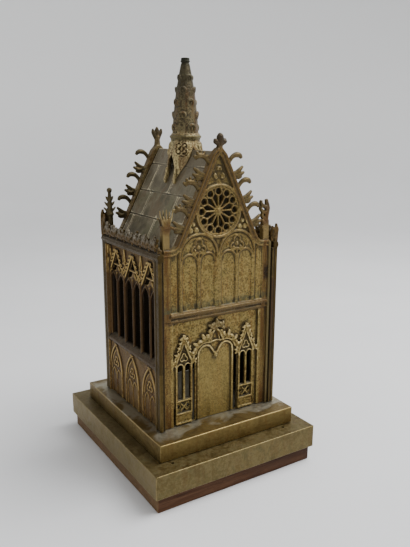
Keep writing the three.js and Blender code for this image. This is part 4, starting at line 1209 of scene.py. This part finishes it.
# ---- spire ----
# An eight-sided hollow casting that straddles the ridge on four scrolled feet, with a quatrefoil on
# each diagonal of its skirt, a ring, and curled crockets up its arrises. The finial that screwed into
# its tip is gone, and its socket stands empty.
SPIRE_PROFILE = [(13.4, 209.0), (12.3, 232.0), (10.0, 243.2), (9.1, 248.4), (8.3, 261.0), (6.7, 276.0),
                 (5.4, 283.5), (4.1, 291.0), (3.0, 296.6)]


def eight_sided(name, profile):
    """An upright eight-sided form through (distance to a flat, level) pairs, from the foot up."""
    to_corner = 1 / math.cos(math.pi / 8)
    deselect()
    bpy.ops.mesh.primitive_circle_add(vertices=8, radius=profile[0][0] * to_corner, fill_type="NGON",
                                      location=(0, 0, profile[0][1]))
    form = bpy.context.object
    form.name = name
    bpy.ops.object.transform_apply(location=True)
    bpy.ops.object.mode_set(mode="EDIT")
    bpy.ops.mesh.select_all(action="SELECT")
    for (wide, level), (next_wide, next_level) in zip(profile, profile[1:]):
        bpy.ops.mesh.extrude_region_move(TRANSFORM_OT_translate={"value": (0, 0, next_level - level)})
        scale = next_wide / wide
        bpy.ops.transform.resize(value=(scale, scale, 1))
    bpy.ops.mesh.select_all(action="SELECT")
    bpy.ops.mesh.normals_make_consistent(inside=False)
    bpy.ops.object.mode_set(mode="OBJECT")
    form.data.transform(Matrix.Rotation(math.pi / 8, 4, "Z"))
    return form


def cone_flat(z):
    for (wide, low), (narrow, high) in zip(SPIRE_PROFILE, SPIRE_PROFILE[1:]):
        if z <= high:
            return wide + (narrow - wide) * (z - low) / (high - low)


body = eight_sided("spire_body", SPIRE_PROFILE)
finish_with(body, "REMESH", mode="VOXEL", voxel_size=0.5)
finish_with(body, "SMOOTH", factor=0.5, iterations=24)
hollow = eight_sided("hollow", [(12.0, 205.0), (10.9, 232.0), (9.4, 239.0)])
doorway = flat_outline("doorway", [pointed(0, 5.2, 221, 232.4, 198)], -30, 30)
doorway.data.transform(Matrix.Rotation(math.pi / 2, 4, "Z"))
top = RIDGE + 0.35 / math.cos(SLOPE)
foot = top - 60 * math.tan(SLOPE)
astride = flat_outline("astride", [[(-60, foot), (60, foot), (0, top)]], -40, 40)
carved(body, [hollow, doorway, astride])
forms = [body]
lines = []
for radius, z, thick in ((10.4, 243.6, 0.6), (10.6, 245.2, 1.15), (9.9, 246.9, 0.6), (3.0, 297.6, 0.55)):
    lines.append(["closed", *((x, z, out, thick) for x, out in ring(0, 0, radius))])
for sx in (-1, 1):
    for sy in (-1, 1):
        lines.append(curve_through([(sx * 12.2, 223, sy * 6.2, 0.9), (sx * 12.9, 217.5, sy * 6.4, 1.2),
                                    (sx * 13.6, 214.4, sy * 6.6, 1.4), (sx * 13.3, 212.6, sy * 6.6, 1.3),
                                    (sx * 12.0, 212.4, sy * 6.6, 1.0), (sx * 11.6, 213.8, sy * 6.6, 0.7)]))
lines.append([(0, 296.2, 0, 2.7), (0, 297.8, 0, 3.3), (0, 300.0, 0, 3.1)])
half = [(-1.2, -2.9, 0.1, 0.8), (-2.5, -1.0, 0.5, 0.95), (-2.2, 1.2, 0.9, 1.0)]
curl = tubes("curl", [[(0, -1.6, 0.0, 1.0), (0, -0.2, 0.6, 1.1), (0, 0.9, 0.4, 0.8)],
                      curve_through([*half, (0, 2.5, 1.2, 1.15), *mirror(half)[::-1]])])
for row, z in enumerate((251.1, 260.0, 268.9, 277.6, 286.1)):
    size = 1.0 - 0.07 * row
    for quarter in range(4):
        turn = math.radians(quarter * 90 + (45 if row % 2 else 0))
        foot = Matrix.Translation((0, 0.4 - cone_flat(z), z))
        forms.append(copied(curl, Matrix.Rotation(turn, 4, "Z") @ foot @ Matrix.Scale(size, 4)))
bpy.data.objects.remove(curl)
DIAGONALS = (45, 135, 225, 315)
lobes = [(*arc(0, 0, 3.0, turn, turn, 1)[0], turn) for turn in DIAGONALS]
quatrefoil = joined([
    tubes("quatrefoil", [rib(arc(x, z, 2.5, turn - 128, turn + 128, 14), 0.2, 0.5) for x, z, turn in lobes]),
    beads("quatrefoil", [(x, z, -0.1, 1.35, 1.3) for x, z, turn in lobes])])
pocket = flat_outline("pocket", [ring(x, z, 2.08, 14) for x, z, turn in lobes], -1.1, 2)
pockets = []
for turn in DIAGONALS:
    stand = (Matrix.Rotation(math.radians(turn), 4, "Z") @ Matrix.Translation((0, -11.45, 236.6))
             @ Matrix.Rotation(math.radians(-11.5), 4, "X"))
    pockets.append(copied(pocket, stand))
    forms.append(copied(quatrefoil, stand))
carved(body, [joined(pockets)])
bpy.data.objects.remove(quatrefoil)
bpy.data.objects.remove(pocket)
spire = cast([*forms, tubes("mouldings", lines)], "spire_casting", 0.32, 120000, unseen=(0, 0, 0))
bore = block("bore", (-1, -1, 297.0), (1, 1, 303))
finish_with(bore, "BEVEL", width=0.5, segments=2)
carved(spire, [bore])
keep_relief(spire, 8, 0.5)
to_metres(spire)


def spire_marks(finish, tone, relief, mottle):
    """Golden below the ring, grey-brown above it, and almost black-green at the empty socket."""
    z = finish.along("Z")
    runs = finish.noise(5.0, 3, 0.6, stretch=(1, 1, 0.16)).between(0.46, 0.58)
    dirt = mottle.between(0.48, 0.6) * (0.3 + z.between(246, 252) * 0.5)
    glints = relief.between(0.25, 0.7) * (1 - z.between(262, 282) * 0.7)
    return finish.coats(
        tone,
        (z.between(246, 250) * 0.78, (0.076, 0.061, 0.034)),
        (z.between(262, 282) * 0.65, (0.04, 0.038, 0.027)),
        (runs * 0.6 * (1 - z.between(270, 285)), (0.125, 0.062, 0.026)),
        (dirt, (0.052, 0.042, 0.024)),
        (glints * 0.6, (0.43, 0.345, 0.17)),
        (z.within(242.0, 243.0, 246.2, 247.0) * 0.75, (0.09, 0.076, 0.034)),
        (z.between(292.5, 298.5) * 0.85, (0.018, 0.021, 0.015)))


tones = ((0.185, 0.13, 0.05), (0.38, 0.3, 0.14), (0.54, 0.44, 0.22), (0.68, 0.56, 0.3))
dressed(spire, old_brass("spire_brass", tones, grain=1.25, red=0.25, olive=0.3, dull=0.52, rub=0.25,
                         paint=spire_marks))
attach(spire, "root")
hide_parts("spire")


# ---- floor and light ----
# A seamless pale paper sweep under and round the chapel, one large soft light above and to the right.
deselect()
bpy.ops.mesh.primitive_circle_add(vertices=96, radius=1.0, fill_type="NGON")
floor = bpy.context.object
floor.name = "floor"
bpy.ops.object.mode_set(mode="EDIT")
bpy.ops.mesh.select_mode(type="EDGE")
bpy.ops.mesh.select_all(action="SELECT")
bpy.ops.mesh.region_to_loop()
reach, sweep = 1.0, 0.9
for angle in range(5, 86, 5):
    before, after = math.radians(angle - 5), math.radians(angle)
    grown = (reach + sweep * math.sin(after)) / (reach + sweep * math.sin(before))
    bpy.ops.mesh.extrude_edges_move(TRANSFORM_OT_translate={
        "value": (0, 0, sweep * (math.cos(before) - math.cos(after)))})
    bpy.ops.transform.resize(value=(grown, grown, 1))
bpy.ops.object.mode_set(mode="OBJECT")
paper = Finish("paper")
white = paper.ramp(paper.noise(180, 2), (0.3, (0.775, 0.785, 0.8)), (0.7, (0.805, 0.815, 0.83)))
# Painted light: the sweep is painted paler as it rises.
white = paper.mix(paper.along("Z").between(0, 400), white, (0.895, 0.905, 0.912))
dressed(floor, paper.surface(0.2, Base_Color=white, Roughness=0.8))

world = bpy.data.worlds.new("studio")
world.use_nodes = True
air = world.node_tree.nodes["Background"].inputs
air["Color"].default_value, air["Strength"].default_value = (0.9, 0.89, 0.875, 1), 0.69
bpy.context.scene.world = world

key_data = bpy.data.lights.new("key", "AREA")
key_data.size, key_data.energy = 0.9, 21
key = bpy.data.objects.new("key", key_data)
bpy.context.scene.collection.objects.link(key)
key.location = (0.55, -0.25, 1.15)
key.rotation_euler = (Vector((0, 0, 0.12)) - key.location).to_track_quat("-Z", "Y").to_euler()
